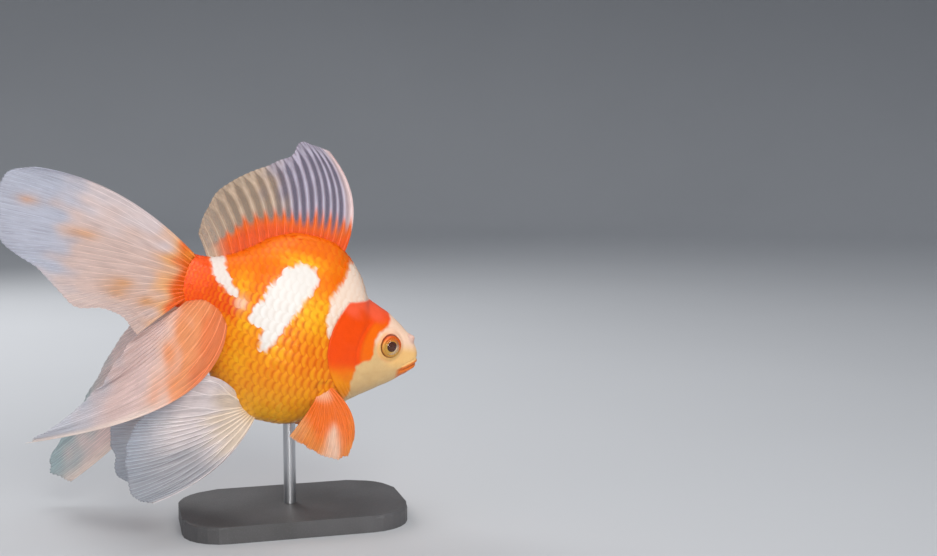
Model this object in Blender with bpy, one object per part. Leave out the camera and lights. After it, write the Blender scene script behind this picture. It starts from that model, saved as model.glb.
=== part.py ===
# Fancy goldfish of the ryukin kind, a life-size model on a plain display stand.
# Sizes are millimetres in the fish's own frame (x forward, y to its left, z up); an empty
# pitches and lifts that frame over the stand.
import math

import bmesh
import bpy
from mathutils import Matrix, Vector

MM = 0.001
NOSE_DOWN = math.radians(14.0)   # the fish swims with its nose a little down
FISH_HEIGHT = 82.0               # fish frame origin above the floor
GAP = 0.3                        # parting between two sub-parts

BASE_LENGTH = 94.0
BASE_WIDTH = 60.0
BASE_THICKNESS = 7.0
BASE_CORNER = 18.0
ROD_RADIUS = 2.6
ROD_X = -1.0

EYE_RADIUS = 5.3
EYE_X = 41.3
EYE_Y = 9.2
EYE_Z = 2.3

RING_POINTS = 32

# x, top, bottom, half width, height of the widest line, ridge power, belly power
STATIONS = (
    (-49.0, 22.6, -1.0, 3.6, 10.6, 1.00, 1.00),
    (-44.0, 22.1, -1.8, 5.0, 10.2, 1.00, 1.00),
    (-38.5, 22.6, -6.5, 7.4, 9.0, 1.10, 1.00),
    (-32.0, 25.1, -20.0, 11.6, 5.0, 1.20, 0.95),
    (-24.5, 29.8, -31.0, 16.2, 0.5, 1.30, 0.90),
    (-16.0, 36.3, -37.4, 20.2, -3.6, 1.40, 0.86),
    (-6.5, 40.1, -40.6, 22.9, -6.6, 1.45, 0.84),
    (2.0, 40.7, -40.7, 23.5, -7.8, 1.45, 0.84),
    (9.0, 40.0, -39.3, 23.0, -7.8, 1.40, 0.86),
    (15.5, 36.9, -36.4, 21.8, -7.2, 1.32, 0.88),
    (21.0, 32.2, -32.9, 20.1, -6.0, 1.22, 0.92),
    (26.0, 26.2, -28.9, 18.3, -4.8, 1.14, 0.95),
    (29.8, 19.7, -25.9, 16.8, -3.9, 1.08, 0.95),
    (34.0, 17.7, -22.6, 15.1, -3.2, 1.04, 0.95),
    (41.0, 14.7, -18.0, 12.0, -2.4, 1.00, 0.95),
    (47.0, 10.9, -13.8, 8.9, -2.2, 0.96, 0.95),
    (51.5, 7.5, -10.2, 6.3, -2.4, 0.92, 0.95),
    (54.3, 4.4, -8.0, 4.6, -2.6, 0.90, 0.92),
    (55.7, 2.2, -6.4, 3.3, -2.6, 0.90, 0.90),
    (56.4, 0.4, -4.8, 2.0, -2.4, 0.90, 0.90),
    (56.6, -1.2, -3.2, 0.8, -2.2, 0.90, 0.90),
)

# Fins: one row a leading ray, root then middle then tip, for the right side (y below 0).
DORSAL_RAYS = (
    (15.0, 0.0, 34.9, 13.6, 0.0, 58.4, -1.7, 0.6, 76.9),
    (9.5, 0.0, 38.2, 6.2, 0.2, 61.0, -7.0, 1.0, 77.0),
    (3.0, 0.0, 38.6, -1.3, 0.4, 61.5, -13.2, 1.2, 77.2),
    (-4.0, 0.0, 38.2, -8.4, 0.4, 57.0, -16.6, 0.9, 70.6),
    (-11.0, 0.0, 36.4, -15.9, 0.2, 53.2, -24.0, 0.3, 65.0),
    (-18.0, 0.0, 33.0, -24.6, 0.0, 48.2, -33.2, -0.4, 58.2),
    (-26.0, 0.0, 26.8, -33.0, -0.2, 40.6, -41.6, -0.9, 50.2),
    (-33.0, 0.0, 22.6, -39.0, -0.3, 32.6, -45.4, -0.9, 39.6),
    (-39.4, 0.0, 20.4, -42.8, -0.2, 25.8, -45.9, -0.5, 30.4),
)
TAIL_UPPER_RAYS = (
    (-45.2, -1.5, 21.6, -80.1, -20.0, 39.4, -112.8, -32.5, 42.5),
    (-46.0, -2.2, 18.6, -84.1, -21.2, 33.2, -121.8, -32.5, 38.2),
    (-46.4, -2.6, 15.6, -84.6, -22.0, 23.9, -123.0, -32.0, 26.6),
    (-46.6, -2.8, 12.6, -82.6, -22.0, 15.3, -118.0, -31.2, 12.4),
    (-46.6, -2.8, 9.6, -77.1, -20.8, 7.8, -103.5, -30.6, 5.6),
    (-46.4, -2.8, 7.0, -69.7, -19.5, 2.4, -88.1, -30.0, -4.8),
    (-46.0, -2.8, 5.0, -61.2, -18.0, -1.2, -71.8, -29.5, -4.6),
    (-45.4, -2.8, 3.0, -54.0, -16.8, -4.2, -62.2, -29.2, -11.8),
)
TAIL_LOWER_RIGHT_RAYS = (
    (-44.4, -2.8, 2.2, -53.2, -16.4, -5.2, -62.7, -29.5, -12.8),
    (-42.0, -4.2, 3.4, -54.2, -18.8, -10.6, -68.2, -34.3, -22.9),
    (-39.0, -6.0, 4.4, -53.6, -21.4, -16.1, -72.0, -38.4, -33.0),
    (-35.2, -8.2, 4.4, -51.5, -24.2, -22.4, -80.8, -43.2, -44.2),
    (-31.0, -11.4, 1.8, -47.8, -27.2, -28.9, -89.4, -47.5, -52.5),
    (-27.5, -13.5, -3.0, -42.0, -30.0, -33.5, -94.1, -50.4, -56.6),
)
TAIL_LOWER_LEFT_RAYS = (
    (-44.4, -2.8, 2.2, -53.2, -16.4, -5.2, -62.4, -29.0, -13.6),
    (-43.0, -3.6, 1.2, -54.8, -19.6, -14.9, -68.8, -33.4, -33.7),
    (-41.2, -4.6, 0.0, -54.4, -23.4, -24.4, -74.8, -38.0, -57.0),
    (-39.2, -5.6, -1.2, -53.2, -27.0, -34.6, -81.5, -42.4, -77.3),
    (-36.6, -6.6, -2.6, -50.7, -29.8, -42.8, -81.5, -44.8, -88.2),
    (-33.4, -7.6, -4.4, -46.3, -31.6, -50.8, -71.4, -46.0, -90.8),
)
ANAL_RAYS = (
    (-28.6, -3.4, -22.6, -37.2, -6.8, -36.0, -47.0, -9.4, -46.4),
    (-30.4, -3.4, -19.6, -40.6, -6.8, -31.6, -52.0, -9.2, -40.0),
    (-32.2, -3.4, -16.6, -42.4, -6.4, -26.4, -54.0, -8.6, -32.4),
    (-34.2, -3.2, -13.0, -42.6, -5.8, -20.8, -51.0, -7.6, -25.4),
)
PELVIC_RAYS = (
    (-6.6, -7.6, -36.6, -18.4, -14.8, -60.4, -42.0, -22.0, -77.8),
    (-7.6, -7.8, -36.2, -24.8, -15.4, -59.6, -49.6, -22.4, -76.4),
    (-8.6, -8.0, -35.8, -29.0, -16.0, -55.6, -53.6, -22.6, -68.0),
    (-9.6, -8.2, -35.4, -31.6, -16.6, -50.4, -56.6, -22.0, -59.6),
    (-10.6, -8.4, -35.0, -32.4, -17.0, -44.6, -55.6, -21.0, -51.0),
    (-11.6, -8.6, -34.6, -31.6, -17.0, -39.2, -52.0, -20.0, -43.0),
    (-12.6, -8.8, -34.2, -27.5, -17.0, -27.5, -44.0, -20.0, -29.0),
)
PELVIC_LEFT_RAYS = PELVIC_RAYS[:-1] + (
    (-12.6, -8.8, -34.2, -28.6, -16.6, -34.0, -46.0, -19.0, -36.0),
)
PECTORAL_RAYS = (
    (18.6, -17.6, -18.4, 28.4, -23.6, -26.2, 31.8, -27.0, -37.2),
    (17.8, -17.6, -19.6, 26.0, -24.4, -31.6, 29.4, -28.0, -45.0),
    (16.8, -17.6, -20.8, 20.6, -24.6, -33.6, 20.4, -27.6, -45.6),
    (15.8, -17.6, -21.8, 14.8, -23.8, -32.8, 12.0, -26.4, -43.4),
    (14.8, -17.4, -22.6, 10.4, -22.8, -31.0, 5.4, -25.0, -40.6),
)

COLOURS = {
    "skin": ((0.90, 0.24, 0.03), 0.40, 0.0),
    "lips": ((0.86, 0.36, 0.16), 0.45, 0.0),
    "fin": ((0.78, 0.76, 0.82), 0.45, 0.0),
    "orange_fin": ((0.92, 0.32, 0.08), 0.45, 0.0),
    "eye": ((0.75, 0.55, 0.15), 0.15, 0.0),
    "base": ((0.20, 0.19, 0.19), 0.55, 0.0),
    "rod": ((0.62, 0.63, 0.65), 0.30, 1.0),
}


def clear_scene():
    for old in list(bpy.data.objects):
        bpy.data.objects.remove(old, do_unlink=True)


def make_collection(name):
    collection = bpy.data.collections.new(name)
    bpy.context.scene.collection.children.link(collection)
    return collection


def make_material(name):
    colour, roughness, metallic = COLOURS[name]
    material = bpy.data.materials.new(name)
    material.use_nodes = True
    shader = material.node_tree.nodes["Principled BSDF"]
    shader.inputs["Base Color"].default_value = (*colour, 1.0)
    shader.inputs["Roughness"].default_value = roughness
    shader.inputs["Metallic"].default_value = metallic
    return material


def add_fish_frame():
    """The empty that holds every piece of the fish, pitched and lifted."""
    frame = bpy.data.objects.new("fish", None)
    frame.location = (0.0, 0.0, FISH_HEIGHT * MM)
    frame.rotation_euler = (0.0, NOSE_DOWN, 0.0)
    bpy.context.scene.collection.objects.link(frame)
    return frame


# ---- body ---------------------------------------------------------------------------
def slopes(field):
    """Slopes of the monotone cubic through one field of the stations."""
    xs = [row[0] for row in STATIONS]
    ys = [row[field] for row in STATIONS]
    steps = [xs[i + 1] - xs[i] for i in range(len(xs) - 1)]
    rates = [(ys[i + 1] - ys[i]) / steps[i] for i in range(len(steps))]
    out = [rates[0]]
    for i in range(1, len(rates)):
        a, b = rates[i - 1], rates[i]
        if a * b <= 0.0:
            out.append(0.0)
        else:
            w1 = 2.0 * steps[i] + steps[i - 1]
            w2 = steps[i] + 2.0 * steps[i - 1]
            out.append((w1 + w2) / (w1 / a + w2 / b))
    out.append(rates[-1])
    return out


SLOPES = [slopes(field) for field in range(7)]


def section(x):
    """All the fields of the body at one length, smoothly between the stations."""
    x = min(max(x, STATIONS[0][0]), STATIONS[-1][0])
    i = 0
    while i < len(STATIONS) - 2 and x > STATIONS[i + 1][0]:
        i += 1
    a, b = STATIONS[i], STATIONS[i + 1]
    h = b[0] - a[0]
    t = (x - a[0]) / h
    out = []
    for field in range(1, 7):
        rise = (a[field] * (1 + 2 * t) * (1 - t) ** 2 + b[field] * t * t * (3 - 2 * t)
                + h * SLOPES[field][i] * t * (1 - t) ** 2
                - h * SLOPES[field][i + 1] * t * t * (1 - t))
        out.append(rise)
    return out


def body_point(x, angle, grow=0.0):
    """A point of the body; angle 0 is the left side, a quarter turn the back."""
    top, bottom, half, widest, ridge, belly = section(x)
    c, s = math.cos(angle), math.sin(angle)
    power = ridge if s >= 0.0 else belly
    reach = (top - widest) if s >= 0.0 else (widest - bottom)
    y = (half + grow) * math.copysign(abs(c) ** power, c)
    return (x, y, widest + (reach + grow) * s)


def side_width(x, z):
    """Half width of the body at a length and a height."""
    top, bottom, half, widest, ridge, belly = section(x)
    power = ridge if z >= widest else belly
    reach = (top - widest) if z >= widest else (widest - bottom)
    share = min(abs(z - widest) / reach, 1.0)
    return half * (1.0 - share * share) ** (power / 2.0)


def head_cut(z):
    """Where the head ends and the trunk begins, along the edge of the gill cover."""
    rate = 0.0175 if z > -1.0 else 0.026
    return 13.2 + rate * (z + 1.0) ** 2


def stalk_cut(z):
    """Where the trunk ends and the tail stalk begins."""
    return -31.0 + 0.004 * (z - 6.0) ** 2


def ring_on_cut(cut, shift, low, high):
    """A ring of body points that follows a cut, moved forward by shift."""
    ring = []
    for i in range(RING_POINTS):
        angle = 2.0 * math.pi * i / RING_POINTS
        a, b = low, high
        for _ in range(40):
            x = 0.5 * (a + b)
            if x - shift > cut(body_point(x, angle)[2]):
                b = x
            else:
                a = x
        ring.append(body_point(x, angle))
    return ring


def ring_between(a, b, share):
    """A ring of the body between two rings, taken along x."""
    out = []
    for i in range(RING_POINTS):
        x = a[i][0] + (b[i][0] - a[i][0]) * share
        out.append(body_point(x, 2.0 * math.pi * i / RING_POINTS))
    return out


def flat_ring(x, grow=0.0):
    steps = range(RING_POINTS)
    return [body_point(x, 2.0 * math.pi * i / RING_POINTS, grow) for i in steps]


def add_object(name, mesh, collection, material=None, on_fish=True):
    part = bpy.data.objects.new(name, mesh)
    collection.objects.link(part)
    if on_fish:
        part.parent = bpy.data.objects["fish"]
    if material is not None:
        mesh.materials.append(material)
    return part


def face_outward(mesh):
    mesh.shade_smooth()
    bm = bmesh.new()
    bm.from_mesh(mesh)
    bmesh.ops.recalc_face_normals(bm, faces=bm.faces)
    bm.to_mesh(mesh)
    bm.free()


def loft(name, rings, collection, material=None):
    """A closed body through rings of equal count, each end ruled straight across."""
    n = len(rings[0])
    points = [[c * MM for c in p] for ring in rings for p in ring]
    faces = []
    for r in range(len(rings) - 1):
        for i in range(n):
            j = (i + 1) % n
            faces.append((r * n + i, r * n + j, (r + 1) * n + j, (r + 1) * n + i))
    quarter = n // 4
    for r in (0, (len(rings) - 1) * n):
        for i in range(-quarter, quarter):
            strip = [i % n, (i + 1) % n, (n // 2 - i - 1) % n, (n // 2 - i) % n]
            faces.append([r + k for k in dict.fromkeys(strip)])
    mesh = bpy.data.meshes.new(name)
    mesh.from_pydata(points, [], faces)
    face_outward(mesh)
    return add_object(name, mesh, collection, material)


def grid_solid(name, front, back, collection, material=None):
    """A closed body between two grids of points of the same size."""
    rows, cols = len(front), len(front[0])
    points = [[c * MM for c in p] for grid in (front, back) for row in grid for p in row]
    offset = rows * cols
    faces = []
    for r in range(rows - 1):
        for c in range(cols - 1):
            k = r * cols + c
            faces.append((k, k + 1, k + cols + 1, k + cols))
            faces.append((offset + k, offset + k + cols, offset + k + cols + 1, offset + k + 1))
    rim = [c for c in range(cols)]
    rim += [r * cols + cols - 1 for r in range(1, rows)]
    rim += [(rows - 1) * cols + c for c in range(cols - 2, -1, -1)]
    rim += [r * cols for r in range(rows - 2, 0, -1)]
    for i, k in enumerate(rim):
        j = rim[(i + 1) % len(rim)]
        faces.append((k, offset + k, offset + j, j))
    mesh = bpy.data.meshes.new(name)
    mesh.from_pydata(points, [], faces)
    face_outward(mesh)
    return add_object(name, mesh, collection, material)


def boolean(part, cutter, operation):
    step = part.modifiers.new(operation.lower() + "_" + cutter.name, "BOOLEAN")
    step.operation = operation
    step.solver = "EXACT"
    step.object = cutter


def hide(cutter):
    cutter.hide_render = True
    cutter.display_type = "WIRE"
    return cutter


def build_trunk(parts, skin):
    front = ring_on_cut(head_cut, -GAP / 2, 2.0, 44.0)
    rear = ring_on_cut(stalk_cut, GAP / 2, -44.0, -20.0)
    rings = [ring_between(rear, front, i / 13.0) for i in range(14)]
    return loft("trunk", rings, parts, skin)


def build_tail_stalk(parts, skin):
    front = ring_on_cut(stalk_cut, -GAP / 2, -44.0, -20.0)
    rear = flat_ring(-48.6)
    rings = [ring_between(rear, front, i / 5.0) for i in range(6)]
    return loft("tail_stalk", rings, parts, skin)


def head_rings():
    rear = ring_on_cut(head_cut, GAP / 2, 2.0, 44.0)
    front = flat_ring(33.0)
    rings = [ring_between(rear, front, i / 4.0) for i in range(5)]
    for x in (36.0, 39.0, 42.0, 45.0, 48.0, 50.6, 52.8, 54.4, 55.6, 56.3, 56.6):
        rings.append(flat_ring(x))
    return rings


def lip_region(name, cutters, low_front, low_rear, high_front, high_rear, reach=0.0):
    """A block over the mouth between two sloping lines, for cutting the lips."""
    x0, x1, y = 51.6 - reach, 60.0, 12.0
    corners = ((x0, low_rear), (x1, low_front), (x1, high_front), (x0, high_rear))
    front = [[(corners[0][0], -y, corners[0][1]), (corners[1][0], -y, corners[1][1])],
             [(corners[3][0], -y, corners[3][1]), (corners[2][0], -y, corners[2][1])]]
    back = [[(p[0], y, p[2]) for p in row] for row in front]
    return hide(grid_solid(name, front, back, cutters))


def build_lips(parts, cutters, material, head):
    """Upper and lower lip at the tip of the snout, parted by the mouth line."""
    muzzle = [flat_ring(x) for x in (50.0, 51.6, 53.0, 54.4, 55.6, 56.3, 56.6)]
    upper_zone = lip_region("upper_lip_zone", cutters, -5.2, -6.9, -2.2, -3.4)
    lower_zone = lip_region("lower_lip_zone", cutters, -16.0, -16.0, -5.5, -7.2)
    pocket = lip_region("lip_pocket", cutters, -17.0, -17.0, -1.9, -3.1, GAP)
    boolean(loft("upper_lip", muzzle, parts, material), upper_zone, "INTERSECT")
    boolean(loft("lower_lip", muzzle, parts, material), lower_zone, "INTERSECT")
    boolean(head, pocket, "DIFFERENCE")


def cover_front(z):
    """Front line of the gill cover."""
    return 33.4 - 0.007 * (z + 2.0) ** 2


def cover_grid(side, high, low, lead, trail, depth):
    """A grid over the gill cover at a depth below the skin (negative is outside)."""
    grid = []
    for r in range(13):
        z = high + (low - high) * r / 12.0
        row = []
        for c in range(7):
            a, b = cover_front(z) + lead, head_cut(z) + trail
            x = a + (b - a) * c / 6.0
            row.append((x, side * (side_width(x, z) - depth), z))
        grid.append(row)
    return grid


def build_gill_covers(parts, cutters, skin, head):
    for word, side in (("right", -1), ("left", 1)):
        outside = cover_grid(side, 15.0, -18.5, 0.0, 1.5 * GAP, 0.0)
        inside = cover_grid(side, 15.0, -18.5, 0.0, 1.5 * GAP, 2.2)
        grid_solid("gill_cover_" + word, outside, inside, parts, skin)
        slack = 1.5 * GAP
        outside = cover_grid(side, 15.0 + slack, -18.5 - slack, slack, -2.5, -2.5)
        inside = cover_grid(side, 15.0 + slack, -18.5 - slack, slack, -2.5, 2.2 + slack)
        zone = hide(grid_solid("gill_pocket_" + word, outside, inside, cutters))
        boolean(head, zone, "DIFFERENCE")


def ball(name, centre, radii, segments, rings, collection, material=None):
    mesh = bpy.data.meshes.new(name)
    bm = bmesh.new()
    bmesh.ops.create_uvsphere(bm, u_segments=segments, v_segments=rings, radius=1.0)
    turn = Matrix.Rotation(math.pi / 2, 4, "X")
    for v in bm.verts:
        p = turn @ v.co
        v.co = [(centre[k] + radii[k] * p[k]) * MM for k in range(3)]
    bmesh.ops.recalc_face_normals(bm, faces=bm.faces)
    bm.to_mesh(mesh)
    bm.free()
    return add_object(name, mesh, collection, material)


def build_eyes(parts, cutters, material, head):
    for word, side in (("right", -1), ("left", 1)):
        centre = (EYE_X, side * EYE_Y, EYE_Z)
        ball("eye_" + word, centre, [EYE_RADIUS] * 3, 18, 10, parts, material)
        socket = ball("socket_" + word, centre, [EYE_RADIUS + GAP] * 3, 18, 10, cutters)
        boolean(head, hide(socket), "DIFFERENCE")


def build_nostrils(parts, skin, clearance):
    for word, side in (("right", -1), ("left", 1)):
        centre = (51.7, side * 3.0, 6.6)
        flap = ball("nostril_" + word, centre, (1.7, 1.4, 1.7), 10, 6, parts, skin)
        boolean(flap, clearance, "DIFFERENCE")


# ---- fins ---------------------------------------------------------------------------
def along_row(rows, share):
    """One row of nine numbers at a share of the way across the rows."""
    place_at = share * (len(rows) - 1)
    i = min(int(place_at), len(rows) - 2)
    t = place_at - i
    r0, r1 = rows[max(i - 1, 0)], rows[i]
    r2, r3 = rows[i + 1], rows[min(i + 2, len(rows) - 1)]
    out = []
    for a, b, c, d in zip(r0, r1, r2, r3):
        out.append(0.5 * (2 * b + (c - a) * t + (2 * a - 5 * b + 4 * c - d) * t * t
                          + (3 * b - 3 * c + d - a) * t ** 3))
    return out


def fin_point(rows, across, out, wave):
    """A point of a fin: across the rays, and out along the ray to its tip."""
    row = along_row(rows, across)
    root, mid, tip = row[0:3], row[3:6], row[6:9]
    point = []
    for a, b, c in zip(root, mid, tip):
        bend = 2.0 * b - 0.5 * (a + c)
        point.append(a * (1 - out) ** 2 + 2 * bend * out * (1 - out) + c * out * out)
    height, count, phase = wave
    point[1] += height * out ** 1.6 * math.sin(2.0 * math.pi * (count * across + phase))
    return Vector(point)


def fin(name, rows, across, out, wave, thick, parts, material, clearance, left=False):
    """A thin curved fin, thicker at its root, clear of the body by the gap."""
    front, back = [], []
    for r in range(out + 1):
        v = r / out
        half = 0.5 * (thick[0] + (thick[1] - thick[0]) * v)
        row_front, row_back = [], []
        for c in range(across + 1):
            u = c / across
            p = fin_point(rows, u, v, wave)
            step = 0.02
            du = fin_point(rows, min(u + step, 1), v, wave) - fin_point(rows, max(u - step, 0), v, wave)
            dv = fin_point(rows, u, min(v + step, 1), wave) - fin_point(rows, u, max(v - step, 0), wave)
            normal = du.cross(dv).normalized()
            for keep, sign in ((row_front, 1), (row_back, -1)):
                q = p + normal * half * sign
                keep.append((q.x, -q.y if left else q.y, q.z))
        front.append(row_front)
        back.append(row_back)
    part = grid_solid(name, front, back, parts, material)
    boolean(part, clearance, "DIFFERENCE")
    return part


def longer(rows, factor):
    """The rays of a fin drawn out from their roots."""
    out = []
    for row in rows:
        root = row[0:3]
        far = [root[k % 3] + (row[3 + k] - root[k % 3]) * factor for k in range(6)]
        out.append(list(root) + far)
    return out


def swung(rows, degrees, shorter):
    """The rays of a lobe turned about the tail stalk and drawn in, least at the fork."""
    out = []
    for i, row in enumerate(rows):
        amount = 1.0 - i / (len(rows) - 1)
        turn = math.radians(degrees) * amount
        c, s = math.cos(turn), math.sin(turn)
        new = list(row[0:3])
        for k, share in ((3, 0.5), (6, 1.0)):
            x, y, z = row[k] + 46.0, row[k + 1], row[k + 2] - 11.0
            scale = 1.0 - (1.0 - shorter) * share * amount
            new += [-46.0 + scale * (x * c + z * s), y * scale, 11.0 + scale * (z * c - x * s)]
        out.append(new)
    return out


def build_fins(parts, clear_fin, orange_fin, clearance):
    fin("dorsal_fin", DORSAL_RAYS, 16, 6, (0.5, 2.0, 0.0), (1.6, 0.8), parts, orange_fin, clearance)
    tail = (1.5, 2.2, 0.1)
    thick = (1.6, 0.8)
    for left in (False, True):
        word = "_left" if left else "_right"
        upper = swung(TAIL_UPPER_RAYS, -6.0, 0.92) if left else TAIL_UPPER_RAYS
        lower = TAIL_LOWER_LEFT_RAYS if left else TAIL_LOWER_RIGHT_RAYS
        fin("tail_upper" + word, upper, 14, 7, tail, thick, parts, clear_fin, clearance, left)
        fin("tail_lower" + word, lower, 10, 7, tail, thick, parts, clear_fin, clearance, left)
        fin("anal_fin" + word, ANAL_RAYS, 6, 5, (0.5, 1.0, 0.0), (1.2, 0.7), parts, clear_fin,
            clearance, left)
        pelvic = longer(PELVIC_LEFT_RAYS, 1.1) if left else PELVIC_RAYS
        fin("pelvic_fin" + word, pelvic, 12, 6, (1.0, 2.5, 0.3), (1.4, 0.8), parts, clear_fin,
            clearance, left)
        fin("pectoral_fin" + word, PECTORAL_RAYS, 8, 6, (0.6, 1.5, 0.2), (1.2, 0.8), parts,
            orange_fin, clearance, left)


# ---- stand --------------------------------------------------------------------------
def build_base(parts, material):
    """A low rounded plate on the floor, its top edge softened."""
    outline = []
    for cx, cy, start in ((1, 1, 0), (-1, 1, 90), (-1, -1, 180), (1, -1, 270)):
        for i in range(7):
            a = math.radians(start + 15 * i)
            outline.append((cx * (BASE_LENGTH / 2 - BASE_CORNER) + BASE_CORNER * math.cos(a),
                            cy * (BASE_WIDTH / 2 - BASE_CORNER) + BASE_CORNER * math.sin(a)))
    mesh = bpy.data.meshes.new("stand_base")
    bm = bmesh.new()
    low = [bm.verts.new((x * MM, y * MM, 0.0)) for x, y in outline]
    high = [bm.verts.new((x * MM, y * MM, BASE_THICKNESS * MM)) for x, y in outline]
    bm.faces.new(list(reversed(low)))
    top = bm.faces.new(high)
    for i in range(len(low)):
        j = (i + 1) % len(low)
        bm.faces.new((low[i], low[j], high[j], high[i]))
    bmesh.ops.bevel(bm, geom=list(top.edges), offset=1.2 * MM, segments=2, profile=0.5,
                    affect="EDGES")
    bm.to_mesh(mesh)
    bm.free()
    add_object("stand_base", mesh, parts, material, on_fish=False)


def build_rod(parts, material, clearance):
    """A short upright rod from the plate to the belly."""
    mesh = bpy.data.meshes.new("stand_rod")
    bm = bmesh.new()
    bottom = BASE_THICKNESS + 0.05
    height = 40.0
    bmesh.ops.create_cone(bm, cap_ends=True, segments=24, radius1=ROD_RADIUS * MM,
                          radius2=ROD_RADIUS * MM, depth=height * MM)
    bmesh.ops.translate(bm, verts=bm.verts, vec=(ROD_X * MM, 0.0, (bottom + height / 2) * MM))
    bm.to_mesh(mesh)
    bm.free()
    rod = add_object("stand_rod", mesh, parts, material, on_fish=False)
    boolean(rod, clearance, "DIFFERENCE")


def build():
    clear_scene()
    add_fish_frame()
    parts = make_collection("ryukin_goldfish")
    cutters = make_collection("cutters")
    materials = {name: make_material(name) for name in COLOURS}
    grown = []
    for i in range(45):
        grown.append(flat_ring(-48.6 + (56.6 + 48.6) * i / 44.0, GAP))
    clearance = hide(loft("body_clearance", grown, cutters))
    head = loft("head", head_rings(), parts, materials["skin"])
    build_lips(parts, cutters, materials["lips"], head)
    build_gill_covers(parts, cutters, materials["skin"], head)
    build_eyes(parts, cutters, materials["eye"], head)
    build_nostrils(parts, materials["skin"], clearance)
    build_trunk(parts, materials["skin"])
    build_tail_stalk(parts, materials["skin"])
    build_fins(parts, materials["fin"], materials["orange_fin"], clearance)
    build_base(parts, materials["base"])
    build_rod(parts, materials["rod"], clearance)


build()
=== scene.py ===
import math

import bmesh
import bpy
import numpy as np
from mathutils import Matrix, Vector


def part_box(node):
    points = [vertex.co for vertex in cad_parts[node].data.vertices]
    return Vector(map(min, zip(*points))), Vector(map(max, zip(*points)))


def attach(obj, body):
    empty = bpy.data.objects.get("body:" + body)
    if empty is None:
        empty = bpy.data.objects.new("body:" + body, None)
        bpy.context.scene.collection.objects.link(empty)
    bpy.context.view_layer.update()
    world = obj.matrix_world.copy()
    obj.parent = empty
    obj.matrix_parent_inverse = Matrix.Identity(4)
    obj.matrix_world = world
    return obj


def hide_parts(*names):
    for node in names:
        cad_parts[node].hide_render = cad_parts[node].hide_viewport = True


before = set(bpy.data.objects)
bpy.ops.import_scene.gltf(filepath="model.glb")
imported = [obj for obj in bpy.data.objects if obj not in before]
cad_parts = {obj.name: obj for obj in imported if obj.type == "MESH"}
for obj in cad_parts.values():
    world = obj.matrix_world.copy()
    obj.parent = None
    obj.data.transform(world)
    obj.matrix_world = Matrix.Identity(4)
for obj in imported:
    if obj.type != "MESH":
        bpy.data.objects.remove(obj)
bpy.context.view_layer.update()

MM = 0.001
NOSE_DOWN = math.radians(14.0)

EYE = np.array((41.3, 9.2, 2.3))    # the middle of the left eye's globe
EYE_RADIUS = 5.3
EYE_SWING = math.radians(15.0)      # the eyes look forward by this much
EYE_SET_BACK = 0.5
NOSTRIL = np.array((51.7, 3.0, 6.6))

BARE_SINK = 0.1        # the bare skin of the head lies this far inside the solids
COAT_DEPTH = 0.45      # and the skin under the scales this far
SKIN_TURNS = 288       # points round each ring of the skin

BODY_DEPTH = 81.4      # from belly to back, where the body is deepest
ROW_HEIGHT = 4.7       # between rows of scales there
ROW_PITCH = 3.2        # between scales along a row there
LATERAL_START = 13.0   # x of the lateral line's front end, behind the gill cover
LATERAL_FRONT = 4.0    # its height there
LATERAL_RISE = -0.09   # its change of height along x
COAT_LONG = 84.0       # length and girth that an unwrap of the coat takes in
COAT_ROUND = 220.0

# x, top, bottom, half width, height of the widest line, ridge power, belly power
STATIONS = np.array((
    (-49.0, 22.6, -1.0, 3.6, 10.6, 1.00, 1.00),
    (-44.0, 22.1, -1.8, 5.0, 10.2, 1.00, 1.00),
    (-38.5, 22.6, -6.5, 7.4, 9.0, 1.10, 1.00),
    (-32.0, 25.1, -20.0, 11.6, 5.0, 1.20, 0.95),
    (-24.5, 29.8, -31.0, 16.2, 0.5, 1.30, 0.90),
    (-16.0, 36.3, -37.4, 20.2, -3.6, 1.40, 0.86),
    (-6.5, 40.1, -40.6, 22.9, -6.6, 1.45, 0.84),
    (2.0, 40.7, -40.7, 23.5, -7.8, 1.45, 0.84),
    (9.0, 40.0, -39.3, 23.0, -7.8, 1.40, 0.86),
    (15.5, 36.9, -36.4, 21.8, -7.2, 1.32, 0.88),
    (21.0, 32.2, -32.9, 20.1, -6.0, 1.22, 0.92),
    (26.0, 26.2, -28.9, 18.3, -4.8, 1.14, 0.95),
    (29.8, 19.7, -25.9, 16.8, -3.9, 1.08, 0.95),
    (34.0, 17.7, -22.6, 15.1, -3.2, 1.04, 0.95),
    (41.0, 14.7, -18.0, 12.0, -2.4, 1.00, 0.95),
    (47.0, 10.9, -13.8, 8.9, -2.2, 0.96, 0.95),
    (51.5, 7.5, -10.2, 6.3, -2.4, 0.92, 0.95),
    (54.3, 4.4, -8.0, 4.6, -2.6, 0.90, 0.92),
    (55.7, 2.2, -6.4, 3.3, -2.6, 0.90, 0.90),
    (56.4, 0.4, -4.8, 2.0, -2.4, 0.90, 0.90),
    (56.6, -1.2, -3.2, 0.8, -2.2, 0.90, 0.90),
))
STALK_END = STATIONS[0, 0]
STALK_MIDDLE = 10.8     # height of the tail stalk's axis at its end
STALK_CAP = 6.5         # the skin closes this far behind the last station
TAIL_PIVOT = np.array((-46.0, 0.0, 11.0))
SNOUT_END = STATIONS[-1, 0]

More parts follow.
